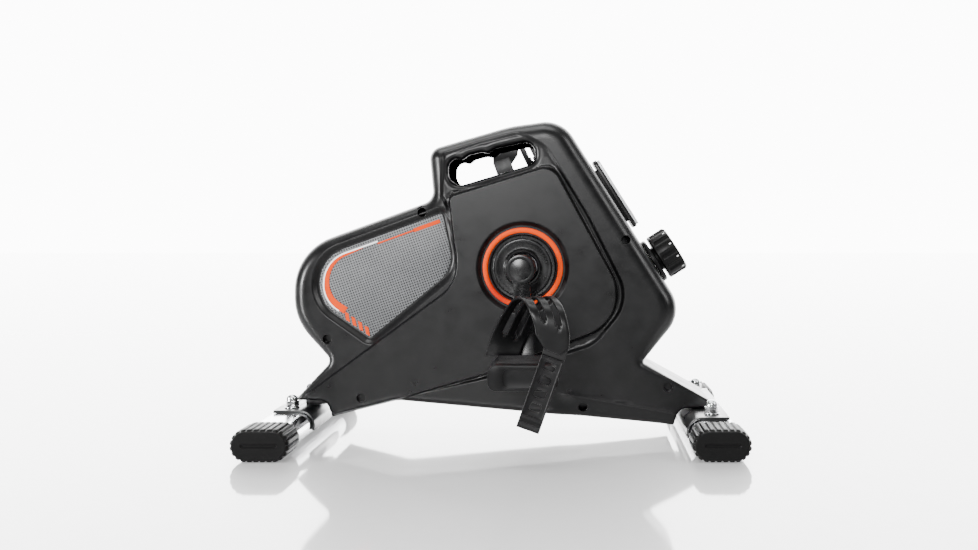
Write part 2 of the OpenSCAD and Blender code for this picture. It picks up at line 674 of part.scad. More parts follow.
module idler_wheel() color(GREY) turned_y(idler_at[0], idler_at[1], [
    [idler_bolt_r + run, -36], [idler_r - 1, -36], [idler_r - 1, -26], [idler_bolt_r + run, -26]]);
module idler_bolt() color(STEEL) {
    rod_y(idler_at[0], idler_at[1], idler_bolt_r, -38, idler_y[1] + 2);
    rod_y(idler_at[0], idler_at[1], 7, -41, -38);
}

module magnet_pin() color(STEEL) rod_y(fly_x, pin_z, pin_r, lug_y[0], lug_y[3]);

arm_y = [-8, 10];
band_r = [fly_r + 5, fly_r + 8.5];
function arc_pts(r, a0, a1, n) = [for (k = [0:n]) let (a = a0 + (a1 - a0) * k / n) [r * cos(a), r * sin(a)]];
module band(r0, r1, a0, a1, y0, y1) {
    translate([fly_x, y1, fly_z]) rotate([90, 0, 0]) linear_extrude(y1 - y0)
        polygon(concat(arc_pts(r0, a0, a1, 16), arc_pts(r1, a1, a0, 16)));
}
// The brake parts are drawn closed on the rim, then swung open about the magnet pin.
module open_brake() {
    translate([fly_x, 0, pin_z]) rotate([0, -magnet_swing, 0]) translate([-fly_x, 0, -pin_z]) children();
}
module magnet_bracket() color(STEEL) open_brake() difference() {
    union() {
        band(band_r[0], band_r[1], 172, 272, arm_y[0], arm_y[1]);
        rod_y(fly_x, pin_z, 6.5, arm_y[0] - 8, arm_y[1] + 8);
    }
    rod_y(fly_x, pin_z, pin_r + run, -60, 60);
}
module brake_magnets() color(GREY) open_brake()
    for (a = [180, 200, 220, 240])
        band(fly_r + 2, band_r[0] - 0.1, a - 7, a + 7, arm_y[0] + 1, arm_y[1] - 1);

// A round tube swept along points. up is a direction that the path never takes.
module tube_along(path, r, sides, up) {
    last = len(path) - 1;
    skin([for (k = [0:last]) let (
        d = unit(path[min(last, k + 1)] - path[max(0, k - 1)]),
        u = unit(cross(d, up)), v = cross(d, u))
        [for (s = [0:sides - 1]) let (a = -360 * s / sides) path[k] + r * (u * cos(a) + v * sin(a))]]);
}
spring_turns = 7;
spring_at = [-163, 1, beam_top];
spring_len = 21;
module return_spring() color(STEEL) translate(spring_at)
    tube_along([for (k = [0:spring_turns * 10]) let (a = 36 * k)
        [4 * cos(a), 4 * sin(a), 0.9 + (spring_len - 1.8) * k / (spring_turns * 10)]], 0.7, 8, [0, 0, 1]);

cable_points = [
    [150, 14, 190], [143, 20, 192], [125, 28, 195], [95, 32, 211], [60, 32, 224], [20, 32, 231],
    [-20, 32, 231], [-60, 32, 227], [-100, 31, 220], [-140, 27, 214], [-165, 18, 209], [-183, 8, 199]];
// Points between the hand-picked ones, on a smooth curve through them.
function curve_at(p, i, t) = let (
        n = len(p) - 1, a = p[max(0, i - 1)], b = p[i], c = p[min(n, i + 1)], d = p[min(n, i + 2)])
    0.5 * (2 * b + (c - a) * t + (2 * a - 5 * b + 4 * c - d) * t * t + (3 * b - a - 3 * c + d) * t * t * t);
function curve(p, steps) = concat(
    [for (i = [0:len(p) - 2]) for (k = [0:steps - 1]) curve_at(p, i, k / steps)], [p[len(p) - 1]]);
module tension_cable() color(RUBBER) tube_along(curve(cable_points, 4), 2, 8, [0, 1, 0]);

// ---- Knob ----
shaft_r = 4;
module knob_bezel() color(BLACK) on_knob() difference() {
    rotate_extrude() polygon([
        [shaft_r + run, 0.1], [25, 0.1], [25, 3.6], [23.6, 5], [18, 5], [18, 3], [shaft_r + run, 3]]);
}
module knob_shaft() color(STEEL) on_knob() {
    translate([0, 0, -14]) cylinder(r = shaft_r, h = 30);
    translate([0, 0, -14]) cylinder(r = 9, h = 6);
}
flute_count = 10;
knob_base = 8;
module tension_knob() color(BLACK) on_knob() difference() {
    rotate_extrude() polygon([
        [shaft_r + seat, 3.4], [14, 3.4], [14, knob_base], [knob_r - 1, knob_base], [knob_r, knob_base + 1],
        [knob_r, knob_base + knob_len - 2], [knob_r - 2, knob_base + knob_len], [0, knob_base + knob_len],
        [0, 16.1], [shaft_r + seat, 16.1]]);
    for (k = [0:flute_count - 1]) rotate([0, 0, (k + 0.5) * 360 / flute_count])
        translate([knob_r + 3.2, 0, knob_base + 3]) cylinder(r = 5.6, h = knob_len);
}

// ---- Console ----
base_t = 4;
bezel_t = 3;
// A rounded plate centred on the local Z axis.
module plate(l, w, r, z0, z1) {
    translate([0, 0, z0]) linear_extrude(z1 - z0) polygon(rounded([
        [-l / 2, w / 2, r, 1], [l / 2, w / 2, r, 1], [l / 2, -w / 2, r, 1], [-l / 2, -w / 2, r, 1]]));
}
window = [46, 32];
window_x = -9;
button_x = 28;
button_r = 6;
module console_base() color(BLACK) on_console() difference() {
    union() {
        plate(console_l, console_w, 6, 0.1, base_t);
        plate(console_well_l - 0.6, console_well_w - 0.6, 3, -console_depth, 1);
    }
    plate(console_well_l - 5, console_well_w - 5, 2, -console_depth + 2, base_t + eps);
    translate([button_x, 0, base_t - 1 - button_travel - gap]) cylinder(r = button_r + gap, h = 10);
}
module console_bezel() color(STEEL) on_console() difference() {
    plate(console_l - 3, console_w - 3, 5, base_t, base_t + bezel_t);
    translate([window_x, 0, 0]) plate(window[0], window[1], 2, 0, 20);
    translate([button_x, 0, 0]) cylinder(r = button_r + gap, h = 20);
}
module console_lens() color([0.35, 0.4, 0.38]) on_console() translate([window_x, 0, 0])
    plate(window[0] - 0.1, window[1] - 0.1, 1.9, base_t + 0.6, base_t + 2.4);
module console_button() color(ORANGE) on_console() translate([button_x, 0, 0]) {
    translate([0, 0, base_t - 1]) cylinder(r = button_r, h = bezel_t + 2.2);
}
module circuit_board() color([0.05, 0.35, 0.15]) on_console() plate(58, 36, 1, -2, -0.4);
module coin_cell() color(STEEL) on_console() translate([-12, 0, -console_depth + 2]) cylinder(r = 10, h = 3.2);
module speed_sensor() color(BLACK) block(crank_x - 36, crank_x - 18, -22, -12, crank_z - 62, crank_z - 50);

left_shell();
right_shell();
shell_screws();
left_ring_trim();
right_ring_trim();
left_hub_cover();
right_hub_cover();
left_badge();
right_badge();
main_frame();
front_saddle();
rear_saddle();
front_stabilizer();
rear_stabilizer();
front_left_cap();
front_right_cap();
rear_left_cap();
rear_right_cap();
carriage_bolts();
bolt_washers();
domed_nuts();
left_crank_bearing();
right_crank_bearing();
crank_axle();
drive_pulley();
speed_magnet();
left_crank_arm();
right_crank_arm();
crank_bolts();
crank_dust_caps();
left_spindle();
right_spindle();
left_pedal();
right_pedal();
left_pedal_cap();
right_pedal_cap();
left_strap();
right_strap();
flywheel_axle();
axle_nuts();
flywheel();
flywheel_bearings();
drive_belt();
idler_wheel();
idler_bolt();
magnet_pin();
magnet_bracket();
brake_magnets();
return_spring();
tension_cable();
knob_bezel();
knob_shaft();
tension_knob();
console_base();
console_bezel();
console_lens();
console_button();
circuit_board();
coin_cell();
speed_sensor();
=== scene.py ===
import json
import math

import bpy
import numpy as np
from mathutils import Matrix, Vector
from mathutils.geometry import delaunay_2d_cdt


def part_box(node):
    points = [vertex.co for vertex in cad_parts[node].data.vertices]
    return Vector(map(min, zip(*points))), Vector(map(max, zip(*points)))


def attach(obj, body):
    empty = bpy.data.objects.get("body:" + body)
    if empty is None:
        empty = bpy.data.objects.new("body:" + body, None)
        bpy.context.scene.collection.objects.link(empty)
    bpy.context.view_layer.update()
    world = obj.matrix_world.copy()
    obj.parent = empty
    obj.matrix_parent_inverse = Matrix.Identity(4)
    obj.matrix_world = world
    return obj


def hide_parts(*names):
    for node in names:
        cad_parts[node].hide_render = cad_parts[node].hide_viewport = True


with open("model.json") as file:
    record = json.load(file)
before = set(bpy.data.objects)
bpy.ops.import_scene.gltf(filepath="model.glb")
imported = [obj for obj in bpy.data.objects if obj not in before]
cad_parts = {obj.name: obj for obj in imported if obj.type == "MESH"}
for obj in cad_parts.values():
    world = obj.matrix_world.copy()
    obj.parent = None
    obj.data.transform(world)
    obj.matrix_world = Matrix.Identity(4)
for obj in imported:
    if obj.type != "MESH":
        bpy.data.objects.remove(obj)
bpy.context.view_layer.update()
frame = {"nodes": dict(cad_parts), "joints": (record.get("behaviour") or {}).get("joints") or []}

MM = 0.001
NODES = frame["nodes"]
JOINTS = {j["name"]: j for j in frame["joints"]}


# ---- Materials ----
def feed(tree, socket, value):
    """Links a socket to another, or sets its number, or its colour from a tuple."""
    if isinstance(value, bpy.types.NodeSocket):
        tree.links.new(value, socket)
    elif isinstance(value, tuple):
        socket.default_value = (*value, 1)
    else:
        socket.default_value = value


def calc(tree, operation, a, b=0.0):
    """The outcome of one sum on two values, each a number or a socket."""
    node = tree.nodes.new("ShaderNodeMath")
    node.operation = operation
    feed(tree, node.inputs[0], a)
    feed(tree, node.inputs[1], b)
    return node.outputs[0]


def noise(tree, coords, scale, detail=3.0, rough=0.5):
    """Cloudy noise between 0 and 1."""
    node = tree.nodes.new("ShaderNodeTexNoise")
    tree.links.new(coords, node.inputs["Vector"])
    node.inputs["Scale"].default_value = scale
    node.inputs["Detail"].default_value = detail
    node.inputs["Roughness"].default_value = rough
    return node.outputs["Fac"]


def spread(tree, value, low, high, start=0.3, end=0.7):
    """Maps start to end onto low to high."""
    node = tree.nodes.new("ShaderNodeMapRange")
    tree.links.new(value, node.inputs["Value"])
    for key, number in (("From Min", start), ("From Max", end), ("To Min", low), ("To Max", high)):
        node.inputs[key].default_value = number
    return node.outputs["Result"]


def blend_colours(tree, factor, a, b):
    """The colour a share factor of the way from a to b."""
    node = tree.nodes.new("ShaderNodeMix")
    node.data_type = "RGBA"
    feed(tree, node.inputs[0], factor)
    feed(tree, node.inputs[6], a)
    feed(tree, node.inputs[7], b)
    return node.outputs[2]


def bump(tree, height, strength, depth, normal=None):
    """A bumped normal, on top of another where one is given."""
    node = tree.nodes.new("ShaderNodeBump")
    node.inputs["Strength"].default_value = strength
    node.inputs["Distance"].default_value = depth
    tree.links.new(height, node.inputs["Height"])
    if normal is not None:
        tree.links.new(normal, node.inputs["Normal"])
    return node.outputs["Normal"]


def material(name, dark, light, rough, metal=0.0, grain=0.0, grain_scale=2500.0, specular=0.5,
             coat=0.0, coat_rough=0.2, patch=18.0, wear=0.0, brushed=None):
    """A moulded, painted, plated or cast finish: two tones in patches, uneven gloss, grain and rubs."""
    mat = bpy.data.materials.new(name)
    mat.use_nodes = True
    tree = mat.node_tree
    shader = tree.nodes["Principled BSDF"]
    place = tree.nodes.new("ShaderNodeTexCoord").outputs["Object"]
    patches = noise(tree, place, patch, 4.0, 0.6)
    colour = blend_colours(tree, spread(tree, patches, 0.0, 1.0), dark, light)
    if wear > 0:
        rubbed = noise(tree, place, 140.0, 6.0, 0.7)
        pale = tuple(min(1.0, c * 2.2 + 0.02) for c in light)
        colour = blend_colours(tree, spread(tree, rubbed, 0.0, wear, 0.58, 0.75), colour, pale)
    tree.links.new(colour, shader.inputs["Base Color"])
    uneven = noise(tree, place, 60.0, 5.0, 0.6)
    tree.links.new(spread(tree, uneven, rough - 0.06, rough + 0.06), shader.inputs["Roughness"])
    shader.inputs["Metallic"].default_value = metal
    shader.inputs["Specular IOR Level"].default_value = specular
    shader.inputs["Coat Weight"].default_value = coat
    shader.inputs["Coat Roughness"].default_value = coat_rough
    normal = None
    if brushed:
        stretch = tree.nodes.new("ShaderNodeMapping")
        tree.links.new(place, stretch.inputs["Vector"])
        stretch.inputs["Scale"].default_value = brushed
        normal = bump(tree, noise(tree, stretch.outputs["Vector"], 1.0, 3.0), 0.25, 0.00003)
    if grain > 0:
        fine = noise(tree, place, grain_scale, 2.0)
        normal = bump(tree, fine, grain, 0.00012, normal)
    if normal is not None:
        tree.links.new(normal, shader.inputs["Normal"])
    return mat


MATS = {
    "shell": material("shell_plastic", (0.0014, 0.0014, 0.0016), (0.0022, 0.0022, 0.0025), 0.33, grain=0.08,
                      grain_scale=1900.0, specular=0.30, patch=9.0),
    "hub": material("hub_plastic", (0.0015, 0.0015, 0.0017), (0.0022, 0.0022, 0.0025), 0.26, grain=0.01,
                    specular=0.42),
    "pedal": material("pedal_plastic", (0.0015, 0.0015, 0.0017), (0.0026, 0.0026, 0.0029), 0.42, grain=0.15,
                      grain_scale=1500.0, wear=0.02, specular=0.16),
    "knob": material("knob_plastic", (0.0018, 0.0018, 0.0018), (0.003, 0.003, 0.003), 0.38, grain=0.1,
                     specular=0.13),
    "rubber": material("cap_rubber", (0.0018, 0.0018, 0.0018), (0.003, 0.003, 0.003), 0.50, grain=0.2,
                       grain_scale=1300.0, wear=0.02, specular=0.12),
    "belt": material("belt_rubber", (0.010, 0.010, 0.010), (0.020, 0.020, 0.020), 0.7, grain=0.3,
                     grain_scale=900.0),
    "paint": material("black_paint", (0.004, 0.004, 0.0044), (0.006, 0.006, 0.0064), 0.32, grain=0.08,
                      grain_scale=700.0, coat=0.3, coat_rough=0.25, wear=0.05),
    "crank": material("crank_paint", (0.0015, 0.0015, 0.0017), (0.0025, 0.0025, 0.0028), 0.28, grain=0.06,
                      coat=0.04, specular=0.25),
    "orange": material("orange_plastic", (0.62, 0.046, 0.0), (0.68, 0.054, 0.0), 0.50, grain=0.06, patch=30.0,
                       specular=0.06),
    "white": material("white_print", (0.80, 0.80, 0.80), (0.90, 0.90, 0.90), 0.4, grain=0.04),
    "silver": material("silver_plastic", (0.58, 0.59, 0.60), (0.68, 0.69, 0.70), 0.34, metal=0.35, grain=0.10,
                       grain_scale=3200.0),
    "chrome": material("chrome_plate", (0.72, 0.73, 0.75), (0.80, 0.81, 0.83), 0.13, metal=1.0, grain=0.01,
                       patch=35.0),
    "nut": material("chrome_nut", (0.70, 0.71, 0.72), (0.82, 0.82, 0.83), 0.16, metal=1.0, grain=0.02,
                    patch=60.0),
    "zinc": material("zinc_steel", (0.50, 0.50, 0.49), (0.64, 0.64, 0.62), 0.36, metal=1.0, grain=0.08,
                     grain_scale=900.0, patch=90.0),
    "aluminium": material("cast_aluminium", (0.52, 0.53, 0.54), (0.62, 0.63, 0.64), 0.4, metal=1.0,
                          grain=0.15, grain_scale=800.0, patch=40.0, brushed=(30.0, 2000.0, 30.0)),
    "iron": material("cast_iron", (0.10, 0.10, 0.105), (0.17, 0.17, 0.175), 0.5, metal=0.9, grain=0.35,
                     grain_scale=600.0, patch=60.0),
    "magnet": material("magnet_grey", (0.20, 0.20, 0.21), (0.28, 0.28, 0.29), 0.45, metal=0.7, grain=0.1),
    "board": material("board_green", (0.015, 0.10, 0.035), (0.022, 0.15, 0.05), 0.4, grain=0.1, patch=200.0),
    "lens": material("lens_glass", (0.17, 0.19, 0.17), (0.22, 0.24, 0.22), 0.10, specular=0.6, coat=0.8,
                     coat_rough=0.05, patch=25.0),
}


# The handle opening, whose walls get painted shade: its rise along X, and the middle and half length in
# metres of X and of Z less the rise.
GRIP_SLOPE = 0.27
GRIP_X = (-0.0065, 0.0495)
GRIP_Z = (0.2925, 0.0185)


def grip_painted_shade(mat):
    """Painted shade: takes the gloss off the walls of the handle opening, which makes it a dark hollow as if
    in shadow.
    """
    tree = mat.node_tree
    shader = tree.nodes["Principled BSDF"]
    place = tree.nodes.new("ShaderNodeTexCoord").outputs["Object"]
    parts = tree.nodes.new("ShaderNodeSeparateXYZ")
    tree.links.new(place, parts.inputs[0])
    share = spread(tree, calc(tree, "ABSOLUTE", parts.outputs["Y"]), 1.0, 0.0, 0.044, 0.050)
    rise = calc(tree, "MULTIPLY", parts.outputs["X"], GRIP_SLOPE)
    for value, (centre, half) in ((parts.outputs["X"], GRIP_X),
                                  (calc(tree, "SUBTRACT", parts.outputs["Z"], rise), GRIP_Z)):
        off = calc(tree, "ABSOLUTE", calc(tree, "SUBTRACT", value, centre))
        share = calc(tree, "MULTIPLY", share, spread(tree, off, 1.0, 0.0, half, half + 0.002))
    gloss = shader.inputs["Specular IOR Level"].default_value
    # painted shade: the reflection falls to nothing inside the opening's box
    tree.links.new(spread(tree, share, gloss, 0.0, 0.0, 1.0), shader.inputs["Specular IOR Level"])


def ring_material():
    """Orange trim whose lower left arc is a redder tone."""
    mat = MATS["orange"].copy()
    mat.name = "ring_orange"
    tree = mat.node_tree
    shader = tree.nodes["Principled BSDF"]
    plain = shader.inputs["Base Color"].links[0].from_socket
    place = tree.nodes.new("ShaderNodeTexCoord").outputs["Object"]
    parts = tree.nodes.new("ShaderNodeSeparateXYZ")
    tree.links.new(place, parts.inputs[0])
    hub_x, _, hub_z = JOINTS["crank_spin"]["pos_m"]
    angle = calc(tree, "ARCTAN2", calc(tree, "SUBTRACT", parts.outputs["Z"], hub_z),
                 calc(tree, "SUBTRACT", parts.outputs["X"], hub_x))
    off = calc(tree, "ABSOLUTE", calc(tree, "SUBTRACT", angle, -2.35))
    share = spread(tree, off, 0.85, 0.0, 0.2, 0.6)
    tree.links.new(blend_colours(tree, share, plain, (0.45, 0.012, 0.003)), shader.inputs["Base Color"])
    return mat


def mesh_material():
    """Grey perforated trim: small round holes in rows that follow the top edge of the panel."""
    mat = material("perforated_grey", (0.105, 0.108, 0.112), (0.140, 0.143, 0.147), 0.5, grain=0.06)
    tree = mat.node_tree
    shader = tree.nodes["Principled BSDF"]
    plain = shader.inputs["Base Color"].links[0].from_socket
    place = tree.nodes.new("ShaderNodeTexCoord").outputs["Object"]
    turn = tree.nodes.new("ShaderNodeMapping")
    tree.links.new(place, turn.inputs["Vector"])
    turn.inputs["Rotation"].default_value = (0, math.radians(19), 0)
    pitch = 0.00272
    turn.inputs["Scale"].default_value = (1 / pitch, 1 / pitch, 1 / pitch)
    parts = tree.nodes.new("ShaderNodeSeparateXYZ")
    tree.links.new(turn.outputs["Vector"], parts.inputs[0])
    across = calc(tree, "SUBTRACT", calc(tree, "FRACT", parts.outputs["X"]), 0.5)
    down = calc(tree, "SUBTRACT", calc(tree, "FRACT", parts.outputs["Z"]), 0.5)
    away = calc(tree, "SQRT", calc(tree, "ADD", calc(tree, "MULTIPLY", across, across),
                                   calc(tree, "MULTIPLY", down, down)))
    solid = spread(tree, away, 0.0, 1.0, 0.27, 0.36)
    tree.links.new(blend_colours(tree, solid, (0.006, 0.006, 0.007), plain), shader.inputs["Base Color"])
    tree.links.new(bump(tree, solid, 0.7, 0.0004), shader.inputs["Normal"])
    return mat


def strap_material():
    """Soft black strap plastic with a fine grain and scuffs."""
    return material("strap_plastic", (0.0016, 0.0016, 0.0018), (0.0028, 0.0028, 0.003), 0.34, grain=0.10,
                    grain_scale=1100.0, wear=0.02, patch=40.0, specular=0.2)


grip_painted_shade(MATS["shell"])
MATS["ring"] = ring_material()
MATS["mesh"] = mesh_material()
MATS["strap"] = strap_material()


# ---- Mesh helpers ----
def add_piece(name, verts, faces, mat, body, normals=None, replaces=()):
    """A mesh object from millimetre points that rides on a body."""
    mesh = bpy.data.meshes.new(name)
    points = [tuple(float(c) * MM for c in v) for v in verts]
    mesh.from_pydata(points, [], [tuple(int(i) for i in f) for f in faces])
    mesh.validate(clean_customdata=False)
    mesh.polygons.foreach_set("use_smooth", [True] * len(mesh.polygons))
    if normals is not None:
        mesh.normals_split_custom_set_from_vertices([tuple(n) for n in normals])
    obj = bpy.data.objects.new(name, mesh)
    bpy.context.scene.collection.objects.link(obj)
    mesh.materials.append(mat)
    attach(obj, body)
    if replaces:
        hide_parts(*replaces)
    return obj


def smooth_group():
    """Shades smooth where faces meet at less than the given angle."""
    tree = bpy.data.node_groups.new("smooth_by_angle", "GeometryNodeTree")
    tree.interface.new_socket("Geometry", in_out="INPUT", socket_type="NodeSocketGeometry")
    tree.interface.new_socket("Geometry", in_out="OUTPUT", socket_type="NodeSocketGeometry")
    first, last = tree.nodes.new("NodeGroupInput"), tree.nodes.new("NodeGroupOutput")
    drop = tree.nodes.new("GeometryNodeRemoveAttribute")
    drop.inputs["Name"].default_value = "custom_normal"
    faces = tree.nodes.new("GeometryNodeSetShadeSmooth")
    faces.domain = "FACE"
    edges = tree.nodes.new("GeometryNodeSetShadeSmooth")
    edges.domain = "EDGE"
    angle = tree.nodes.new("GeometryNodeInputMeshEdgeAngle")
    flat = tree.nodes.new("FunctionNodeCompare")
    flat.operation = "LESS_THAN"
    flat.inputs[1].default_value = math.radians(32)
    tree.links.new(first.outputs[0], drop.inputs[0])
    tree.links.new(drop.outputs[0], faces.inputs["Geometry"])
    tree.links.new(faces.outputs[0], edges.inputs["Geometry"])
    tree.links.new(angle.outputs["Unsigned Angle"], flat.inputs[0])
    tree.links.new(flat.outputs[0], edges.inputs["Shade Smooth"])
    tree.links.new(edges.outputs[0], last.inputs[0])
    return tree


SMOOTH = smooth_group()


def finish_surface(obj, bevel=0.0, weld=True, angle=30.0):
    """Welds, rounds the edges and shades a piece smoothly, with modifiers only."""
    if weld:
        mod = obj.modifiers.new("weld", "WELD")
        mod.merge_threshold = 0.000004
    if bevel > 0:
        mod = obj.modifiers.new("bevel", "BEVEL")
        mod.width = bevel * MM
        mod.segments = 2
        mod.limit_method = "ANGLE"
        mod.angle_limit = math.radians(angle)
        mod.use_clamp_overlap = True
        mod.miter_outer = "MITER_ARC"
    mod = obj.modifiers.new("smooth", "NODES")
    mod.node_group = SMOOTH


def dress(node, mat, bevel):
    """Gives a carried-over node its finish and rounded edges."""
    obj = NODES[node]
    obj.data.materials.clear()
    obj.data.materials.append(MATS[mat])
    obj.data.polygons.foreach_set("material_index", [0] * len(obj.data.polygons))
    finish_surface(obj, bevel)


def lathe(profile, centre, segments):
    """A turned, closed ring about the Y axis through centre [x, z]; profile is a list of [radius, y]."""
    verts, faces = [], []
    count = len(profile)
    for k in range(segments):
        a = 2 * math.pi * k / segments
        for r, y in profile:
            verts.append((centre[0] + r * math.cos(a), y, centre[1] + r * math.sin(a)))
    for k in range(segments):
        nxt = (k + 1) % segments
        for j in range(count):
            jn = (j + 1) % count
            faces.append((k * count + j, k * count + jn, nxt * count + jn, nxt * count + j))
    return verts, faces


def mirrored(verts, faces):
    """The same piece on the other side of the middle plane."""
    return [(v[0], -v[1], v[2]) for v in verts], [tuple(reversed(f)) for f in faces]


# ---- Outlines in millimetres, x toward the rear and z up; each corner is [x, z, radius] ----
TOP = [[-76.5, 308, 14], [10, 333, 150], [66, 341, 35], [197.4, 134.3, 35], [152, 80.8, 3]]
REAR_END = [[224, 40.5, 4], [224, 32.5, 1.5], [190.5, 32.5, 12]]
BOTTOM = [[185.5, 14, 1.5], [-108.7, 40.7, 30], [-178, 23.2, 1.5]]
FRONT_END = [[-182, 41.4, 12], [-216.5, 41.2, 1.5]]
FRONT = [[-179.5, 82.5, 8], [-221, 125, 60], [-221, 199.6, 60], [-71.5, 254.2, 14]]
OUTLINE = TOP + REAR_END + BOTTOM + FRONT_END + FRONT
HANDLE = [[-54.5, 294.4, 10], [-46, 298.2, 6], [-39.5, 296.4, 3.5], [-33, 301.6, 8], [-19, 305.0, 9],
          [-12.2, 303.4, 3.5], [-5.5, 308.4, 9], [37, 317.8, 11], [38, 293.2, 11], [-55.5, 265.2, 13]]
PANEL = [[-53, 257, 5], [56, 290.5, 18], [142.8, 130.2, 45], [-13, 70, 60], [-108.7, 42.5, 4],
         [-174, 26.5, 2], [-207, 45.5, 3], [-43, 166, 40]]
CHANNEL = [[-61.5, 303, 7], [-21.5, 316.2, 60], [22, 327, 18], [50, 311, 30], [95, 238, 200], [140, 148, 42],
           [101, 99.5, 40], [-13, 64.4, 200], [-104, 44.2, 2], [0, 150, 5], [-63, 258, 5]]
BADGE = [[-61, 240, 3], [-48.5, 181, 30], [-137.5, 107, 4], [-193, 146, 36], [-190, 193, 38]]
JOINT_SCREWS = [[-82.6, 240.7], [-183, 105.8], [-145.9, 43.9], [88.5, 33.5], [134.2, 211.3]]
FRAME_SCREWS = [[179.1, 55.3]]
HUB = [JOINTS["crank_spin"]["pos_m"][0] / MM, JOINTS["crank_spin"]["pos_m"][2] / MM]

# Distances of the case's faces from its middle plane, and the radii of what is let into it.
PANEL_RISE = 4
HALF = -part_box("left_shell")[0].y / MM - PANEL_RISE
BADGE_FLOOR = 50
CASE_WALL = 2.4
HUB_HOLE_R, HUB_FLAT_R = 30, 50.0
WELL_R, WELL_DEPTH = 4.8, 7.5
CREASE_FROM, CREASE_TO = (67.6, 48), (191, 26)


def rounded(corners, step):
    """Points of an outline of [x, z, radius] corners, one every step degrees of turn."""
    pts = []
    n = len(corners)
    for i in range(n):
        p, a, b = (Vector(corners[j % n][:2]) for j in (i, i - 1, i + 1))
        u, v = (a - p).normalized(), (b - p).normalized()
        half = math.acos(max(-1.0, min(1.0, u.dot(v)))) / 2
        r = corners[i][2]
        t = r / math.tan(half)
        centre = p + (u + v).normalized() * (r / math.sin(half))
        s, e = p + u * t - centre, p + v * t - centre
        a0 = math.atan2(s.y, s.x)
        turn = (math.atan2(e.y, e.x) - a0 + math.pi) % (2 * math.pi) - math.pi
        k = max(1, math.ceil(abs(turn) / math.radians(step)))
        pts += [(centre.x + r * math.cos(a0 + turn * j / k), centre.y + r * math.sin(a0 + turn * j / k))
                for j in range(k + 1)]
    return np.array(pts)


def split_long(poly, span):
    """Adds points so that no side is longer than span."""
    out = []
    for a, b in zip(poly, np.roll(poly, -1, axis=0)):
        k = max(1, math.ceil(np.linalg.norm(b - a) / span))
        out += [a + (b - a) * j / k for j in range(k)]
    return np.array(out)


def area(poly):
    """Area of an outline, negative where it runs clockwise."""
    x, z = poly[:, 0], poly[:, 1]
    return 0.5 * float(np.sum(x * np.roll(z, -1) - np.roll(x, -1) * z))


def inward(poly):
    """Unit normals that point into the outline, one for each point."""
    d = np.roll(poly, -1, axis=0) - poly
    d /= np.maximum(np.linalg.norm(d, axis=1, keepdims=True), 1e-9)
    m = d + np.roll(d, 1, axis=0)
    m /= np.maximum(np.linalg.norm(m, axis=1, keepdims=True), 1e-9)
    n = np.stack([-m[:, 1], m[:, 0]], axis=1)
    return n if area(poly) > 0 else -n


def distance(points, poly):
    """Signed distance to an outline, positive inside it."""
    a, b = poly, np.roll(poly, -1, axis=0)
    d = b - a
    length = np.maximum((d ** 2).sum(1), 1e-12)
    out = np.empty(len(points))
    for s in range(0, len(points), 4000):
        p = points[s:s + 4000, None, :]
        w = p - a[None]
        t = np.clip((w * d[None]).sum(2) / length[None], 0, 1)
        near = np.sqrt((((w - t[..., None] * d[None]) ** 2).sum(2)).min(1))
        up = (a[None, :, 1] > p[..., 1]) != (b[None, :, 1] > p[..., 1])
        rise = np.where(np.abs(d[None, :, 1]) < 1e-12, 1e-12, d[None, :, 1])
        cross = a[None, :, 0] + (p[..., 1] - a[None, :, 1]) * d[None, :, 0] / rise
        inside = (up & (p[..., 0] < cross)).sum(1) % 2 == 1
        out[s:s + 4000] = np.where(inside, near, -near)
    return out


def ramp(v, lo, hi):
    """Rises smoothly from 0 at lo to 1 at hi."""
    t = np.clip((v - lo) / (hi - lo), 0, 1)
    return t * t * (3 - 2 * t)


FINE = {
    "out": rounded(OUTLINE, 2.0),
    "hole": rounded(HANDLE, 3.0),
    "panel": rounded(PANEL, 2.0),
    "channel": rounded(CHANNEL, 3.0),
    "badge": rounded(BADGE, 2.0),
}


def edge_radius(x, z):
    """Rounding of the case's rim, wide at the top and tight round the feet."""
    r = 7 + 12 * ramp(z, 60, 120)
    return r - 3.5 * ramp(np.abs(x), 160, 190) * (1 - ramp(z, 60, 75))


def fillet(d, r):
    """Drop of a rounded edge of radius r at a distance d from it."""
    inner = r - np.clip(d, 0.004, r)
    return r - np.sqrt(np.maximum(r * r - inner * inner, 0))


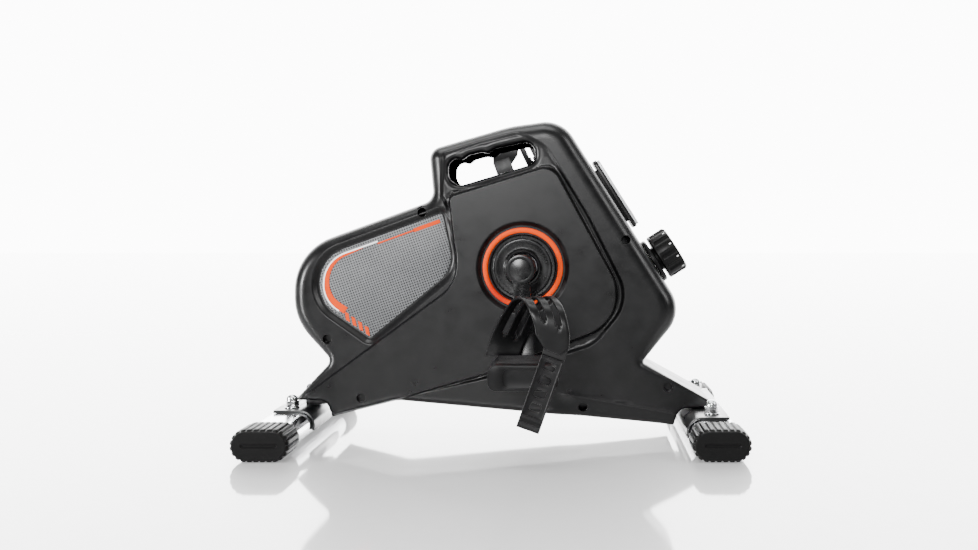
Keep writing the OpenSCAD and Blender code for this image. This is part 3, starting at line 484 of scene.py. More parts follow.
def height(points, wells):
    """How far the moulded face stands from the parting plane."""
    x, z = points[:, 0], points[:, 1]
    in_rim, off_hole = distance(points, FINE["out"]), -distance(points, FINE["hole"])
    in_panel, in_channel = distance(points, FINE["panel"]), distance(points, FINE["channel"])
    in_badge = distance(points, FINE["badge"])
    rim = HALF - fillet(in_rim, edge_radius(x, z))
    lip = HALF - fillet(off_hole, 8.0)
    gap = np.clip(0.5 + 0.5 * (rim - lip) / 3.0, 0, 1)
    h = rim * (1 - gap) + lip * gap - 3.0 * gap * (1 - gap)
    raised = ramp(in_panel, -1.6, 1.3)
    h = h + PANEL_RISE * raised
    h -= 2.8 * ramp(in_channel, -1.4, 3.4) * (1 - ramp(in_panel, -2.2, 0.2)) * ramp(in_rim, 2, 8)
    fall = (CREASE_TO[1] - CREASE_FROM[1]) / (CREASE_TO[0] - CREASE_FROM[0])
    below = (CREASE_FROM[1] + (x - CREASE_FROM[0]) * fall - z) / math.hypot(1, fall)
    h -= 0.30 * np.maximum(below, 0) * ramp(x, 55, 90)
    h += 0.9 * np.exp(-((below + 0.6) / 1.1) ** 2) * ramp(x, 60, 95) * ramp(192 - x, 0, 8)
    side = ramp(z, 172, 200) * ramp(-x, 30, 42)
    h -= 1.3 * side * np.exp(-((in_panel + 3.6) / 1.0) ** 2)
    sunk = ramp(in_badge, -8.5, -0.6)
    h = h * (1 - sunk) + BADGE_FLOOR * sunk
    hub = np.hypot(x - HUB[0], z - HUB[1])
    flat = ramp(HUB_FLAT_R - hub, 0, 6.0)
    h = h * (1 - flat) + HALF * flat
    for wx, wz in wells:
        h -= WELL_DEPTH * ramp(WELL_R - np.hypot(x - wx, z - wz), 0, 0.45)
    return h


def circle(cx, cz, r, n):
    """n points round a circle."""
    return np.array([(cx + r * math.cos(2 * math.pi * k / n), cz + r * math.sin(2 * math.pi * k / n))
                     for k in range(n)])


def shell_surface(wells):
    """Triangles of the face that follow every edge of the moulding."""
    pts, edges = [], []

    def loop(poly):
        """Adds an outline's points and holds its sides as edges."""
        base = len(pts)
        pts.extend(poly.tolist())
        n = len(poly)
        edges.extend([(base + i, base + (i + 1) % n) for i in range(n)])

    out, hole = split_long(rounded(OUTLINE, 6), 7), split_long(rounded(HANDLE, 9), 5)
    hub_hole = circle(*HUB, HUB_HOLE_R, 72)
    for poly, sign, steps in (
            (out, 1, [0.25, 0.8, 1.7, 2.9, 4.4, 6.3, 8.7, 11.5, 15, 19.3]),
            (hole, -1, [0.25, 0.8, 1.7, 2.9, 4.4, 6.2, 8.2]),
            (split_long(rounded(PANEL, 6), 7), 1, [-1.7, -1.0, -0.3, 0.5, 1.4]),
            (split_long(rounded(CHANNEL, 8), 7), 1, [-1.4, -0.5, 0.5, 1.6, 2.8]),
            (split_long(rounded(BADGE, 6), 6), 1, [-8.6, -7.2, -5.5, -3.8, -2.2, -0.9, 0.3])):
        if sign == -1 or poly is out:
            loop(poly)
        n = inward(poly) * sign
        fine = FINE["out"] if poly is out else FINE["hole"] if poly is hole else None
        for step in steps:
            ring = poly + n * step
            keep = (distance(ring, FINE["out"]) > 0.12) & (distance(ring, FINE["hole"]) < -0.12)
            if fine is not None:
                keep &= np.abs(distance(ring, fine)) > step - 0.06
            at = {}
            for i, ok in enumerate(keep):
                if ok:
                    at[i] = len(pts)
                    pts.append(ring[i].tolist())
            for i in at:
                j = (i + 1) % len(ring)
                if j in at:
                    edges.append((at[i], at[j]))
    loop(hub_hole)
    for shift in (-1.9, -1.2, -0.6, 0.0, 0.7):
        base = len(pts)
        along_x = [60 + 5.2 * k for k in range(26)]
        pts.extend([(x, CREASE_FROM[1] - 0.178 * (x - CREASE_FROM[0]) + shift) for x in along_x])
        edges.extend([(base + k, base + k + 1) for k in range(25)])
    for r, count in ((38, 72), (44, 96), (45.5, 96), (47, 96), (48.5, 96), (50, 96)):
        loop(circle(*HUB, r, count))
    for wx, wz in wells:
        for r in (3.2, 4.3, 4.5, 4.65, 4.8, 5.2):
            loop(circle(wx, wz, r, 28))
        pts.append([wx, wz])
    lo, hi = out.min(0), out.max(0)
    columns, rows = np.arange(lo[0], hi[0], 5.5), np.arange(lo[1], hi[1], 4.8)
    grid = np.array([(x + (2.75 if j % 2 else 0), z) for j, z in enumerate(rows) for x in columns])
    grid = grid[(distance(grid, FINE["out"]) > 3) & (distance(grid, FINE["hole"]) < -3)]
    have = np.array(pts)
    far = np.array([np.min((have[:, 0] - g[0]) ** 2 + (have[:, 1] - g[1]) ** 2) > 9 for g in grid])
    pts.extend(grid[far].tolist())
    co, _, tris, *_ = delaunay_2d_cdt([Vector(p) for p in pts], edges, [], 0, 0.001, False)
    co = np.array([tuple(c) for c in co])
    tris = np.array([t for t in tris if len(t) == 3])
    mid = co[tris].mean(1)
    keep = (distance(mid, out) > 0) & (distance(mid, hole) < 0)
    keep &= np.hypot(mid[:, 0] - HUB[0], mid[:, 1] - HUB[1]) > HUB_HOLE_R - 0.1
    a, b, c = (co[tris[:, i]] for i in range(3))
    size = (b[:, 0] - a[:, 0]) * (c[:, 1] - a[:, 1]) - (b[:, 1] - a[:, 1]) * (c[:, 0] - a[:, 0])
    keep &= np.abs(size) > 1e-5
    tris = tris[keep]
    tris[size[keep] < 0] = tris[size[keep] < 0][:, ::-1]
    return co, tris


def shell_half(side, wells, flip):
    """One moulded half with a real wall thickness, as a closed solid."""
    co, tris = shell_surface(wells)
    used = np.unique(tris)
    index = -np.ones(len(co), int)
    index[used] = np.arange(len(used))
    co, tris = co[used], index[tris]
    h = height(co, wells)
    e = 0.04
    gx = (height(co + [e, 0], wells) - height(co - [e, 0], wells)) / (2 * e)
    gz = (height(co + [0, e], wells) - height(co - [0, e], wells)) / (2 * e)
    normal = np.stack([-gx, -np.ones_like(gx), -gz], 1)
    count = {}
    for t in tris:
        for i in range(3):
            a, b = int(t[i]), int(t[(i + 1) % 3])
            count[(a, b)] = count.get((a, b), 0) + 1
    rim = {a: b for (a, b) in count if (b, a) not in count}
    hub_rim = {i for i in rim if abs(math.hypot(*(co[i] - HUB)) - HUB_HOLE_R) < 0.2}
    flat_normal = {}
    back = {b: a for a, b in rim.items()}
    for i in rim:
        if i in hub_rim:
            continue
        d = co[rim[i]] - co[back[i]]
        d /= max(np.linalg.norm(d), 1e-9)
        flat_normal[i] = np.array([d[1], 0, -d[0]])
        normal[i] = flat_normal[i]
    normal /= np.linalg.norm(normal, axis=1, keepdims=True)
    outer = np.stack([co[:, 0], -h, co[:, 1]], 1)
    inner = outer - normal * CASE_WALL
    inner[:, 1] = np.minimum(inner[:, 1], -0.5)
    n = len(co)
    verts = outer.tolist() + inner.tolist()
    normals = normal.tolist() + (-normal).tolist()
    faces = [tuple(t) for t in tris.tolist()]
    faces += [(t[2] + n, t[1] + n, t[0] + n) for t in tris.tolist()]
    levels = {}
    for i in rim:
        if i in hub_rim:
            continue
        f = flat_normal[i]
        here = outer[i]
        chain = [i]
        for y, back_off, tilt in ((-HALF * 0.35, 0, 0), (-0.7, 0, 0), (0.0, 0.55, 1)):
            chain.append(len(verts))
            verts.append([here[0] - f[0] * back_off, y, here[2] - f[2] * back_off])
            normals.append((f + [0, tilt * 0.8, 0]).tolist())
        chain.append(len(verts))
        verts.append([here[0] - f[0] * CASE_WALL, 0.0, here[2] - f[2] * CASE_WALL])
        normals.append((-f).tolist())
        chain.append(i + n)
        levels[i] = chain
    for a, b in rim.items():
        if a in hub_rim:
            faces.append((b, a, a + n, b + n))
        else:
            for k in range(5):
                faces.append((levels[b][k], levels[a][k], levels[a][k + 1], levels[b][k + 1]))
    if flip:
        normals = [(v[0], -v[1], v[2]) for v in normals]
        verts, faces = mirrored(verts, faces)
    add_piece(side + "_case", verts, faces, MATS["shell"], "base", normals, [side + "_shell"])


shell_half("left", JOINT_SCREWS + FRAME_SCREWS, False)
shell_half("right", FRAME_SCREWS, True)


# ---- Badges: trim lines inlaid in the perforated panel ----
BADGE_FRONT = [-190, 168]
BADGE_DEPTH = 0.35


def along(poly, start, stop):
    """Points, inward normals and share of the way of an outline, from start by the badge's front to stop."""
    n = inward(poly)
    a = int(np.argmin(np.hypot(*(poly - start).T)))
    b = int(np.argmin(np.hypot(*(poly - stop).T)))
    via = int(np.argmin(np.hypot(*(poly - BADGE_FRONT).T)))
    steps = (b - a) % len(poly)
    order = [(a + k) % len(poly) for k in range(steps + 1)]
    if via not in order:
        order = [(a - k) % len(poly) for k in range(len(poly) - steps + 1)]
    p = poly[order]
    run = np.concatenate([[0], np.cumsum(np.linalg.norm(np.diff(p, axis=0), axis=1))])
    share = run / run[-1]
    return p, n[order], share


def inlay(name, rows, mat, y, flip):
    """A thin raised strip between two edges; rows are pairs of (outer, inner) points."""
    verts, faces = [], []
    for a, b in rows:
        for p, depth in ((a, 0.0), (a, BADGE_DEPTH), (b, BADGE_DEPTH), (b, 0.0)):
            verts.append((p[0], y - depth, p[1]))
    for k in range(len(rows) - 1):
        i = 4 * k
        for j in range(4):
            jn = (j + 1) % 4
            faces.append((i + j, i + jn, i + 4 + jn, i + 4 + j))
    faces.append((3, 2, 1, 0))
    end = 4 * (len(rows) - 1)
    faces.append((end, end + 1, end + 2, end + 3))
    if flip:
        verts, faces = mirrored(verts, faces)
    finish_surface(add_piece(name, verts, faces, mat, "base"), weld=False)


badge_line = split_long(rounded(BADGE, 4), 3)
BADGE_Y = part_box("left_badge")[0].y / MM
for side, flip in (("left", False), ("right", True)):
    p, n, s = along(badge_line, (-64.5, 239), (-136, 108.5))

    def strip(name, lo, hi, near, far, mat):
        """An inlay along the badge's edge from share lo to hi, between two distances in from it."""
        marks = [lo] + [v for v in s if lo < v < hi] + [hi]
        rows = []
        for v in marks:
            at = np.array([np.interp(v, s, p[:, j]) for j in (0, 1)])
            way = np.array([np.interp(v, s, n[:, j]) for j in (0, 1)])
            rows.append((at + way * near(v), at + way * far(v)))
        inlay(side + name, rows, MATS[mat], BADGE_Y, flip)

    strip("_badge_bar", 0.008, 0.13, lambda t: 5.2, lambda t: 9.0, "orange")
    strip("_badge_line", 0.128, 0.30, lambda t: 6.2, lambda t: 7.7, "orange")
    strip("_badge_white", 0.297, 0.813, lambda t: 4.4 - 1.2 * t, lambda t: 6.1 - 1.4 * t,
          "white")
    strip("_badge_arc", 0.37, 0.836, lambda t: 6.4 - 1.9 * t,
          lambda t: 6.8 - 1.9 * t + 7.2 * max(0.0, (t - 0.37) / 0.466) ** 0.8, "orange")
    for k in range(4):
        t0 = 0.872 + 0.036 * k
        lean = np.array([-0.18, 1.0])
        foot = np.array([np.interp(t0, s, p[:, j] + n[:, j] * 1.5) for j in (0, 1)])
        rows = [(foot + [-2.3, 0.8], foot + [1.6, -1.4]),
                (foot + lean * 9.0 + [-2.3, 0.8], foot + lean * 9.0 + [1.6, -1.4])]
        inlay(f"{side}_badge_dash_{k + 1}", rows, MATS["orange"], BADGE_Y, flip)

# ---- Hubs, as profiles of [radius, y] ----
dish = [[31.0, -56.6], [35.4, -56.6], [36.0, -57.2], [36.0, -58.4], [35.5, -58.9], [34.6, -58.6],
        [33.6, -57.5], [31.4, -57.3], [30.6, -57.8], [29.9, -59.2], [29.2, -59.4], [27.0, -58.9],
        [23.5, -58.2], [20.8, -58.4], [19.5, -59.8], [18.9, -61.8], [18.7, -64.6], [18.3, -65.6],
        [17.4, -66.0], [16.4, -65.8], [15.8, -65.0], [15.6, -63.5], [15.6, -57.0], [16.5, -56.6]]
ring = [[37.0, -56.1], [42.3, -56.1], [42.5, -57.2], [42.1, -58.3], [41.2, -58.9], [39.8, -59.0],
        [38.3, -58.9], [37.4, -58.3], [37.0, -57.2]]
for side, flip in (("left", False), ("right", True)):
    for part, profile, around, mat, slot, stands_for in (
            ("_hub_dish", dish, 128, "hub", "hub_black", "_hub_cover"),
            ("_hub_ring", ring, 160, "ring", "orange_trim", "_ring_trim")):
        v, f = lathe(profile, HUB, around)
        if flip:
            v, f = mirrored(v, f)
        obj = add_piece(side + part, v, f, MATS[mat], "base", replaces=[side + stands_for])
        finish_surface(obj, weld=False)

# ---- Straps ----
PEDAL_IN = 124.0
PEDAL_TOP, STRAP_T, ARCH_H = 11.8, 2.8, 71.0
OUTER_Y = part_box("left_strap")[0].y / MM
STRAP_Y = [-PEDAL_IN - 3, OUTER_Y + STRAP_T / 2]
TAIL_W, TAIL_LEN, TAIL_TILT = 22.0, 72.0, math.radians(19.5)
TAIL_ROOT, PEG_AT, SLOT_PITCH = [28.5, 19], 23.0, 13.3
ARCH_FOOT = PEDAL_TOP - 1
FLAP_TOP, FLAP_HALF, FLAP_DROP, FLAP_TIP = 40.0, 15.8, 19.0, 0.64
BAND_W, BAND_TAPER, BAND_STEPS = 34.0, 2.4, 60
# Each slit of the band: its sides, its ends, its narrower sides near the ends, and where these resume.
SLITS = [(-0.25, -0.08, 0.10, 0.95, -0.19, -0.14, 0.933), (0.13, 0.31, 0.09, 0.984, 0.19, 0.25, 0.967)]
SLIT_WIDE_FROM = 0.117
# Half sizes of a slot in the tail, along it and across it, without and with its cut corners.
SLOT_LONG, SLOT_WIDE = (2.9, 3.65), (4.6, 5.4)


def mix(a, b, t):
    """The value a share t of the way from a to b."""
    return a + (b - a) * t


def ease(t):
    """A share between 0 and 1 with soft ends."""
    t = max(0.0, min(1.0, t))
    return t * t * (3 - 2 * t)


def arch_at(t):
    """Middle line of the band from its inner foot (0) over the shoe to the top of the outer flap (1)."""
    a = math.pi * t
    lift = max(0.0, math.sin(a)) ** 0.75
    return Vector((-24 + 66 * t - 14 * t * t, mix(STRAP_Y[0], STRAP_Y[1], (1 - math.cos(a)) / 2),
                   mix(ARCH_FOOT, FLAP_TOP, ease(t)) + (ARCH_H - 26.5) * lift))


def thicken(outer, inner, solid):
    """Joins outer and inner point rows into one closed band; solid[r][c] says which quads exist."""
    count = len(outer[0])
    half = len(outer) * count
    verts = [p for row in outer for p in row] + [p for row in inner for p in row]
    faces = []
    for r in range(len(outer) - 1):
        for c in range(count - 1):
            if not solid[r][c]:
                continue
            a = r * count + c
            b, e, f = a + 1, a + count + 1, a + count
            faces.append((a, f, e, b))
            faces.append((b + half, e + half, f + half, a + half))
            for (p, q), there in (((b, a), r > 0 and solid[r - 1][c]),
                                  ((f, e), r < len(outer) - 2 and solid[r + 1][c]),
                                  ((a, f), c > 0 and solid[r][c - 1]),
                                  ((e, b), c < count - 2 and solid[r][c + 1])):
                if not there:
                    faces.append((q, p, p + half, q + half))
    return drop_unused([tuple(v) for v in verts], faces)


def drop_unused(verts, faces):
    """Leaves out the points that no face uses."""
    used = sorted({i for f in faces for i in f})
    index = {v: k for k, v in enumerate(used)}
    return [verts[i] for i in used], [tuple(index[i] for i in f) for f in faces]


def band_mesh():
    """The arch over the foot with two long slits, and the pointed flap at its outer end."""
    across = [-0.5, -0.47, -0.38, -0.28, -0.25, -0.19, -0.14, -0.08, -0.05, 0.02, 0.10, 0.13, 0.19, 0.25,
              0.31, 0.34, 0.41, 0.47, 0.5]
    outer, inner, at_t = [], [], []
    for k in range(BAND_STEPS + 1):
        t = k / BAND_STEPS
        at, d = arch_at(t), 0.004
        way = Vector((0, 0, 1)) if k == 0 else Vector((0, 0, -1)) if k == BAND_STEPS else (
            arch_at(min(1, t + d)) - arch_at(max(0, t - d))).normalized()
        wide = Vector((1, 0, 0)) - way * way.x
        wide.z *= 0.35 if 0.15 < t < 0.85 else 0.35 * ease(min(t, 1 - t) / 0.15)
        wide.normalize()
        out = way.cross(wide).normalized()
        w = BAND_W - BAND_TAPER * t
        outer.append([at + wide * u * w + out * (STRAP_T / 2 - (0.5 if abs(u) > 0.49 else 0))
                      for u in across])
        inner.append([at + wide * u * w - out * STRAP_T / 2 for u in across])
        at_t.append(t)
    mid = arch_at(1).x
    left, right = mid - FLAP_HALF, mid + FLAP_HALF
    for share in (0.35, 0.7, 0.92, 1.0):
        row_o, row_i = [], []
        for u in across:
            v = u + 0.5
            lo, hi = mix(left, left + 8.0, share), right - 0.5 * share
            x = mix(lo, hi, v)
            short = 5.8 * (1 - v / FLAP_TIP) if v < FLAP_TIP else 6.4 * (v - FLAP_TIP) / (1 - FLAP_TIP)
            drop = FLAP_DROP - short
            z = FLAP_TOP - drop * share
            thin = mix(STRAP_T, 1.5, ease(share * 1.6))
            row_o.append(Vector((x, OUTER_Y + (0.35 if v in (0.0, 1.0) else 0.0), z)))
            row_i.append(Vector((x, OUTER_Y + thin, z)))
        outer.append(row_o)
        inner.append(row_i)
        at_t.append(1 + share)
    solid = []
    for r in range(len(outer) - 1):
        t = (at_t[r] + at_t[r + 1]) / 2
        row = []
        for c in range(len(across) - 1):
            u = (across[c] + across[c + 1]) / 2
            cut = False
            for side_a, side_b, start, end, narrow_a, narrow_b, narrow_from in SLITS:
                near_end = t < SLIT_WIDE_FROM or t > narrow_from
                a, b = (narrow_a, narrow_b) if near_end else (side_a, side_b)
                cut = cut or (a < u < b and start < t < end)
            row.append(not cut)
        solid.append(row)
    return thicken(outer, inner, solid)


def tail_mesh():
    """The slotted tail: a raised border, a sunk floor, four slots and a ribbed pull tab."""
    down = Vector((-math.sin(TAIL_TILT), 0, -math.cos(TAIL_TILT)))
    wide = Vector((math.cos(TAIL_TILT), 0, -math.sin(TAIL_TILT)))
    half = TAIL_W / 2
    across = [-half, -half + 0.4, -half + 1.4, -half + 1.9, -SLOT_WIDE[1], -SLOT_WIDE[0], 0,
              SLOT_WIDE[0], SLOT_WIDE[1], half - 1.9, half - 1.4, half - 0.4, half]
    slots = [PEG_AT + SLOT_PITCH * (k - 1) for k in range(4)]
    marks = sorted([-14.0, 0.2, 0.8, 1.8, 2.4, 58.0, 58.6, 59.6, 60.2, 64.4, 65.0, 66.2, 66.8, 71.0, 71.6]
                   + [TAIL_LEN] + [c + d * sign for c in slots for d in SLOT_LONG for sign in (-1, 1)])
    outer, inner = [], []
    for s_at in marks:
        row_o, row_i = [], []
        for u in across:
            edge = half - abs(u)
            lift = 0.0
            if s_at < 0.5:
                lift = 1.75
            elif s_at < 60.0:
                if edge > 1.6 and 2.0 < s_at < 58.3:
                    lift = 1.1
                if edge < 0.2:
                    lift = max(lift, 0.4)
            else:
                lift = 0.9
                if 64.7 < s_at < 66.5:
                    lift = 0.1
                if s_at > 71.8 or edge < 0.2:
                    lift += 0.5
            at = Vector((TAIL_ROOT[0], OUTER_Y, TAIL_ROOT[1])) + down * s_at + wide * u
            row_o.append(at + Vector((0, lift, 0)))
            row_i.append(at + Vector((0, 2.9, 0)))
        outer.append(row_o)
        inner.append(row_i)
    solid = []
    for r in range(len(marks) - 1):
        m = (marks[r] + marks[r + 1]) / 2
        row = []
        for c in range(len(across) - 1):
            u = (across[c] + across[c + 1]) / 2
            off = min(abs(m - centre) for centre in slots)
            inside = off < SLOT_LONG[1] and abs(u) < SLOT_WIDE[1]
            corner = SLOT_LONG[0] < off < SLOT_LONG[1] and abs(u) > SLOT_WIDE[0]
            row.append(not inside or corner)
        solid.append(row)
    return thicken(outer, inner, solid)


TIGHT_FROM, TIGHT = 12.0, 0.93    # the right strap is drawn a little tighter above this height
band_v, band_f = band_mesh()
tail_v, tail_f = tail_mesh()
for side, body, turn in (("left", "left_pedal_unit", 1), ("right", "right_pedal_unit", -1)):
    joint = Vector(JOINTS[side + "_pedal_spin"]["pos_m"]) / MM
    for name, v, f, round_by in (("_foot_strap", band_v, band_f, 0.5),
                                 ("_strap_tail", tail_v, tail_f, 0.25)):
        if turn < 0 and name == "_foot_strap":
            v = [(q[0], q[1], min(q[2], TIGHT_FROM) + TIGHT * max(0.0, q[2] - TIGHT_FROM)) for q in v]
        v = [(turn * q[0] + joint.x, turn * q[1], q[2] + joint.z) for q in v]
        obj = add_piece(side + name, v, f, MATS["strap"], body,
                        replaces=[side + "_strap"] if name == "_foot_strap" else ())
        finish_surface(obj, round_by, weld=False, angle=40)


# ---- Stabiliser end caps ----
CAP_END_Y = -190
RIB_COUNT, RIB_DEPTH, CAP_AROUND = 24, 1.5, 288
GROOVE_LENGTH, GROOVE_R, GROOVE_DEPTH = 32, 1.95, 1.1


def oval_point(p, w, h):
    """A point and outward normal on a stadium outline; p runs from 0 to 1 round it."""
    r, flat = h / 2, w - h
    total = 2 * flat + 2 * math.pi * r
    run = (p % 1.0) * total
    if run < flat:
        return Vector((-flat / 2 + run, r)), Vector((0, 1))
    run -= flat
    if run < math.pi * r:
        a = math.pi / 2 - run / r
        return Vector((flat / 2 + r * math.cos(a), r * math.sin(a))), Vector((math.cos(a), math.sin(a)))
    run -= math.pi * r
    if run < flat:
        return Vector((flat / 2 - run, -r)), Vector((0, -1))
    run -= flat
    a = -math.pi / 2 - run / r
    return Vector((-flat / 2 + r * math.cos(a), r * math.sin(a))), Vector((math.cos(a), math.sin(a)))


def cap_mesh(x, length, w, h):
    """A rubber boot: ribs all round, a flat face with a rounded groove, and a mouth round the tube."""
    rings = []
    for y, inset, rib in ((0.0, 3.4, 0.0), (0.15, 2.7, 0.0), (0.9, 2.1, 0.0), (1.6, 1.9, 0.15),
                          (2.2, 1.2, 0.7), (3.0, 0.5, 0.95), (5.0, 0.05, 1.0), (9.0, 0.0, 1.0),
                          (length - 12, 0.0, 1.0), (length - 6, 0.5, 1.0), (length - 2.6, 1.3, 0.8),
                          (length - 1.0, 1.9, 0.2), (length - 0.2, 2.3, 0.0), (length, 3.2, 0.0),
                          (length - 6, 3.2, 0.0)):
        ring_pts = []
        for k in range(CAP_AROUND):
            p = k / CAP_AROUND
            at, n = oval_point(p, w, h)
            wave = 0.5 - 0.5 * math.cos(2 * math.pi * p * RIB_COUNT)
            dip = RIB_DEPTH * rib * (1 - min(1.0, 1.9 * wave) ** 0.7)
            q = at - n * (inset + dip)
            ring_pts.append((x + q.x, CAP_END_Y + y, h / 2 + q.y))
        rings.append(ring_pts)
    verts = [v for ring_pts in rings for v in ring_pts]
    faces = []
    for k in range(len(rings) - 1):
        here, there = k * CAP_AROUND, (k + 1) * CAP_AROUND
        for j in range(CAP_AROUND):
            jn = (j + 1) % CAP_AROUND
            faces.append((here + j, here + jn, there + jn, there + j))
    loops = [[(v[0], v[2]) for v in rings[0][::3]]]
    for grow in (1.9, 1.5, 1.0, 0.5):
        loops.append([tuple(oval_point(j / 60, GROOVE_LENGTH + 2 * grow, 2 * grow)[0] + Vector((x, h / 2)))
                      for j in range(60)])
    points, edges = [], []
    for ring_loop in loops:
        base = len(points)
        points += ring_loop
        edges += [(base + j, base + (j + 1) % len(ring_loop)) for j in range(len(ring_loop))]
    co, _, tris, *_ = delaunay_2d_cdt([Vector(q) for q in points], edges, [], 1, 0.0005, False)
    base = len(verts)
    for q in co:
        dx = max(0.0, abs(q[0] - x) - GROOVE_LENGTH / 2)
        away = math.hypot(dx, q[1] - h / 2)
        depth = GROOVE_DEPTH * ease(GROOVE_R - away)
        verts.append((q[0], CAP_END_Y + depth, q[1]))
    for t in tris:
        a, b, c = (co[i] for i in t)
        turn = (b[0] - a[0]) * (c[1] - a[1]) - (b[1] - a[1]) * (c[0] - a[0])
        faces.append(tuple(base + i for i in (t if turn > 0 else reversed(t))))
    return verts, faces


for node, flip in (("front_left_cap", False), ("front_right_cap", True), ("rear_left_cap", False),
                   ("rear_right_cap", True)):
    lo, hi = (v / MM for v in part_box(node))
    v, f = cap_mesh((lo.x + hi.x) / 2, hi.y - lo.y, hi.x - lo.x, hi.z - lo.z)
    if flip:
        v, f = mirrored(v, f)
    name = node.replace("_cap", "_boot")
    finish_surface(add_piece(name, v, f, MATS["rubber"], "base", replaces=[node]))

# ---- Carried-over CAD nodes ----
DRESS = {
    "shell_screws": ("zinc", 0.2), "left_badge": ("mesh", 0.2), "right_badge": ("mesh", 0.2),
    "main_frame": ("paint", 1.0), "front_saddle": ("paint", 0.6), "rear_saddle": ("paint", 0.6),
    "front_stabilizer": ("chrome", 0.0), "rear_stabilizer": ("chrome", 0.0),
    "carriage_bolts": ("zinc", 0.3), "bolt_washers": ("nut", 0.3), "domed_nuts": ("nut", 0.4),
    "left_crank_bearing": ("zinc", 0.3), "right_crank_bearing": ("zinc", 0.3), "crank_axle": ("zinc", 0.4),
    "drive_pulley": ("aluminium", 0.5), "speed_magnet": ("magnet", 0.3),
    "left_crank_arm": ("crank", 1.2), "right_crank_arm": ("crank", 1.2),
    "crank_bolts": ("zinc", 0.4), "crank_dust_caps": ("hub", 0.5),
    "left_spindle": ("zinc", 0.4), "right_spindle": ("zinc", 0.4),
    "left_pedal": ("pedal", 0.7), "right_pedal": ("pedal", 0.7),
    "left_pedal_cap": ("pedal", 0.6), "right_pedal_cap": ("pedal", 0.6),
    "flywheel_axle": ("zinc", 0.3), "axle_nuts": ("zinc", 0.4), "flywheel": ("iron", 0.6),
    "flywheel_bearings": ("zinc", 0.2), "drive_belt": ("belt", 0.3), "idler_wheel": ("aluminium", 0.4),
    "idler_bolt": ("zinc", 0.3), "magnet_pin": ("zinc", 0.3), "magnet_bracket": ("zinc", 0.3),
    "brake_magnets": ("magnet", 0.3), "return_spring": ("zinc", 0.0), "tension_cable": ("belt", 0.0),
    "knob_bezel": ("knob", 0.5), "knob_shaft": ("zinc", 0.3), "tension_knob": ("knob", 0.8),
    "console_base": ("shell", 0.6), "console_bezel": ("silver", 0.6), "console_lens": ("lens", 0.3),
    "console_button": ("orange", 0.6), "circuit_board": ("board", 0.1), "coin_cell": ("chrome", 0.3),
    "speed_sensor": ("hub", 0.4),
}
for node, (mat, bevel) in DRESS.items():
    dress(node, mat, bevel)

# ---- Knob marks ----
knob_at = Vector(JOINTS["knob_turn"]["pos_m"]) / MM
knob_axis = Vector(JOINTS["knob_turn"]["axis"]).normalized()
knob_side = Vector((0, 1, 0))
knob_up = knob_axis.cross(knob_side)
knob_corners = [Vector(v.co) / MM - knob_at for v in NODES["tension_knob"].data.vertices]
knob_end = max(c.dot(knob_axis) for c in knob_corners)
knob_radius = max((c - knob_axis * c.dot(knob_axis)).length for c in knob_corners)
KNOB_MARKS = 10
for k in range(KNOB_MARKS):
    turn = 2 * math.pi * k / KNOB_MARKS
    away = knob_up * math.cos(turn) + knob_side * math.sin(turn)
    beside = knob_axis.cross(away)
    v, f = [], []
    for step, width in ((-5.2, 0.5), (-4.6, 0.8), (-3.2, 0.8), (-2.6, 0.5)):
        for lift in (-0.4, 0.12):
            for sign in (-1, 1):
                out = away * (knob_radius + lift)
                v.append(knob_at + knob_axis * (knob_end + step) + out + beside * width * sign)
    for j in range(3):
        b = 4 * j
        f += [(b, b + 4, b + 5, b + 1), (b + 2, b + 3, b + 7, b + 6)]
        f += [(b, b + 2, b + 6, b + 4), (b + 1, b + 5, b + 7, b + 3)]
    f += [(0, 1, 3, 2), (12, 14, 15, 13)]
    add_piece(f"knob_mark_{k + 1}", v, f, MATS["white"], "knob")

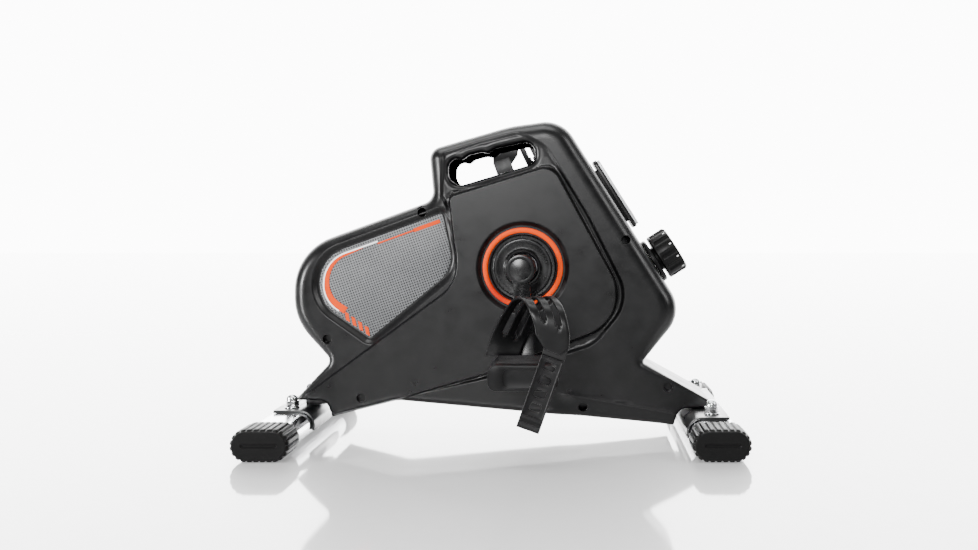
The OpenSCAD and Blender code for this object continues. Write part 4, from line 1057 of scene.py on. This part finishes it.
# ---- Floor, light and camera ----
floor_mat = material("pale_floor", (0.50, 0.50, 0.50), (0.53, 0.53, 0.53), 0.5, specular=0.3, coat=1.0,
                     coat_rough=0.06, patch=2.0)
floor_shader = floor_mat.node_tree.nodes["Principled BSDF"]
floor_shader.inputs["Emission Color"].default_value = (1, 1, 1, 1)
floor_shader.inputs["Emission Strength"].default_value = 0.35
floor_mesh = bpy.data.meshes.new("floor")
floor_mesh.from_pydata([(-9, -9, 0), (9, -9, 0), (9, 9, 0), (-9, 9, 0)], [], [(0, 1, 2, 3)])
floor = bpy.data.objects.new("floor", floor_mesh)
floor_mesh.materials.append(floor_mat)
bpy.context.scene.collection.objects.link(floor)

world = bpy.data.worlds.new("studio")
bpy.context.scene.world = world
world.use_nodes = True
sky = world.node_tree
way = sky.nodes.new("ShaderNodeSeparateXYZ")
sky.links.new(sky.nodes.new("ShaderNodeTexCoord").outputs["Generated"], way.inputs[0])
backdrop = spread(sky, way.outputs["Y"], 0.12, 12.0, 0.45, 0.85)
overhead = spread(sky, way.outputs["Z"], 0.0, 0.6, 0.3, 0.9)
sky.nodes["Background"].inputs["Color"].default_value = (1, 1, 1, 1)
sky.links.new(calc(sky, "ADD", backdrop, overhead), sky.nodes["Background"].inputs["Strength"])


def area_light(name, at, aim, size, power):
    """A rectangular light that shines from one place toward another."""
    data = bpy.data.lights.new(name, "AREA")
    data.shape = "RECTANGLE"
    data.size, data.size_y = size
    data.energy = power
    obj = bpy.data.objects.new(name, data)
    obj.location = at
    obj.rotation_euler = (Vector(aim) - Vector(at)).to_track_quat("-Z", "Y").to_euler()
    bpy.context.scene.collection.objects.link(obj)


area_light("key", (-0.3, -2.1, 0.80), (0, 0, 0.2), (0.5, 0.5), 40)
area_light("side", (-1.5, -0.75, 0.35), (-0.15, 0, 0.18), (0.3, 0.5), 45)
area_light("top", (-0.1, -0.2, 1.5), (0, 0, 0.15), (1.2, 0.5), 16)
area_light("rim", (1.1, -0.5, 0.75), (0.1, 0, 0.15), (0.35, 0.8), 9)

camera_data = bpy.data.cameras.new("camera")
camera = bpy.data.objects.new("camera", camera_data)
bpy.context.scene.collection.objects.link(camera)
bpy.context.scene.camera = camera
camera_data.sensor_width = 36
camera_data.lens = 45.6
camera_data.shift_x, camera_data.shift_y = -0.090, -0.050
camera.location = (0.0824, -1.370, 0.226)
camera.rotation_euler = (math.radians(90), 0, 0)
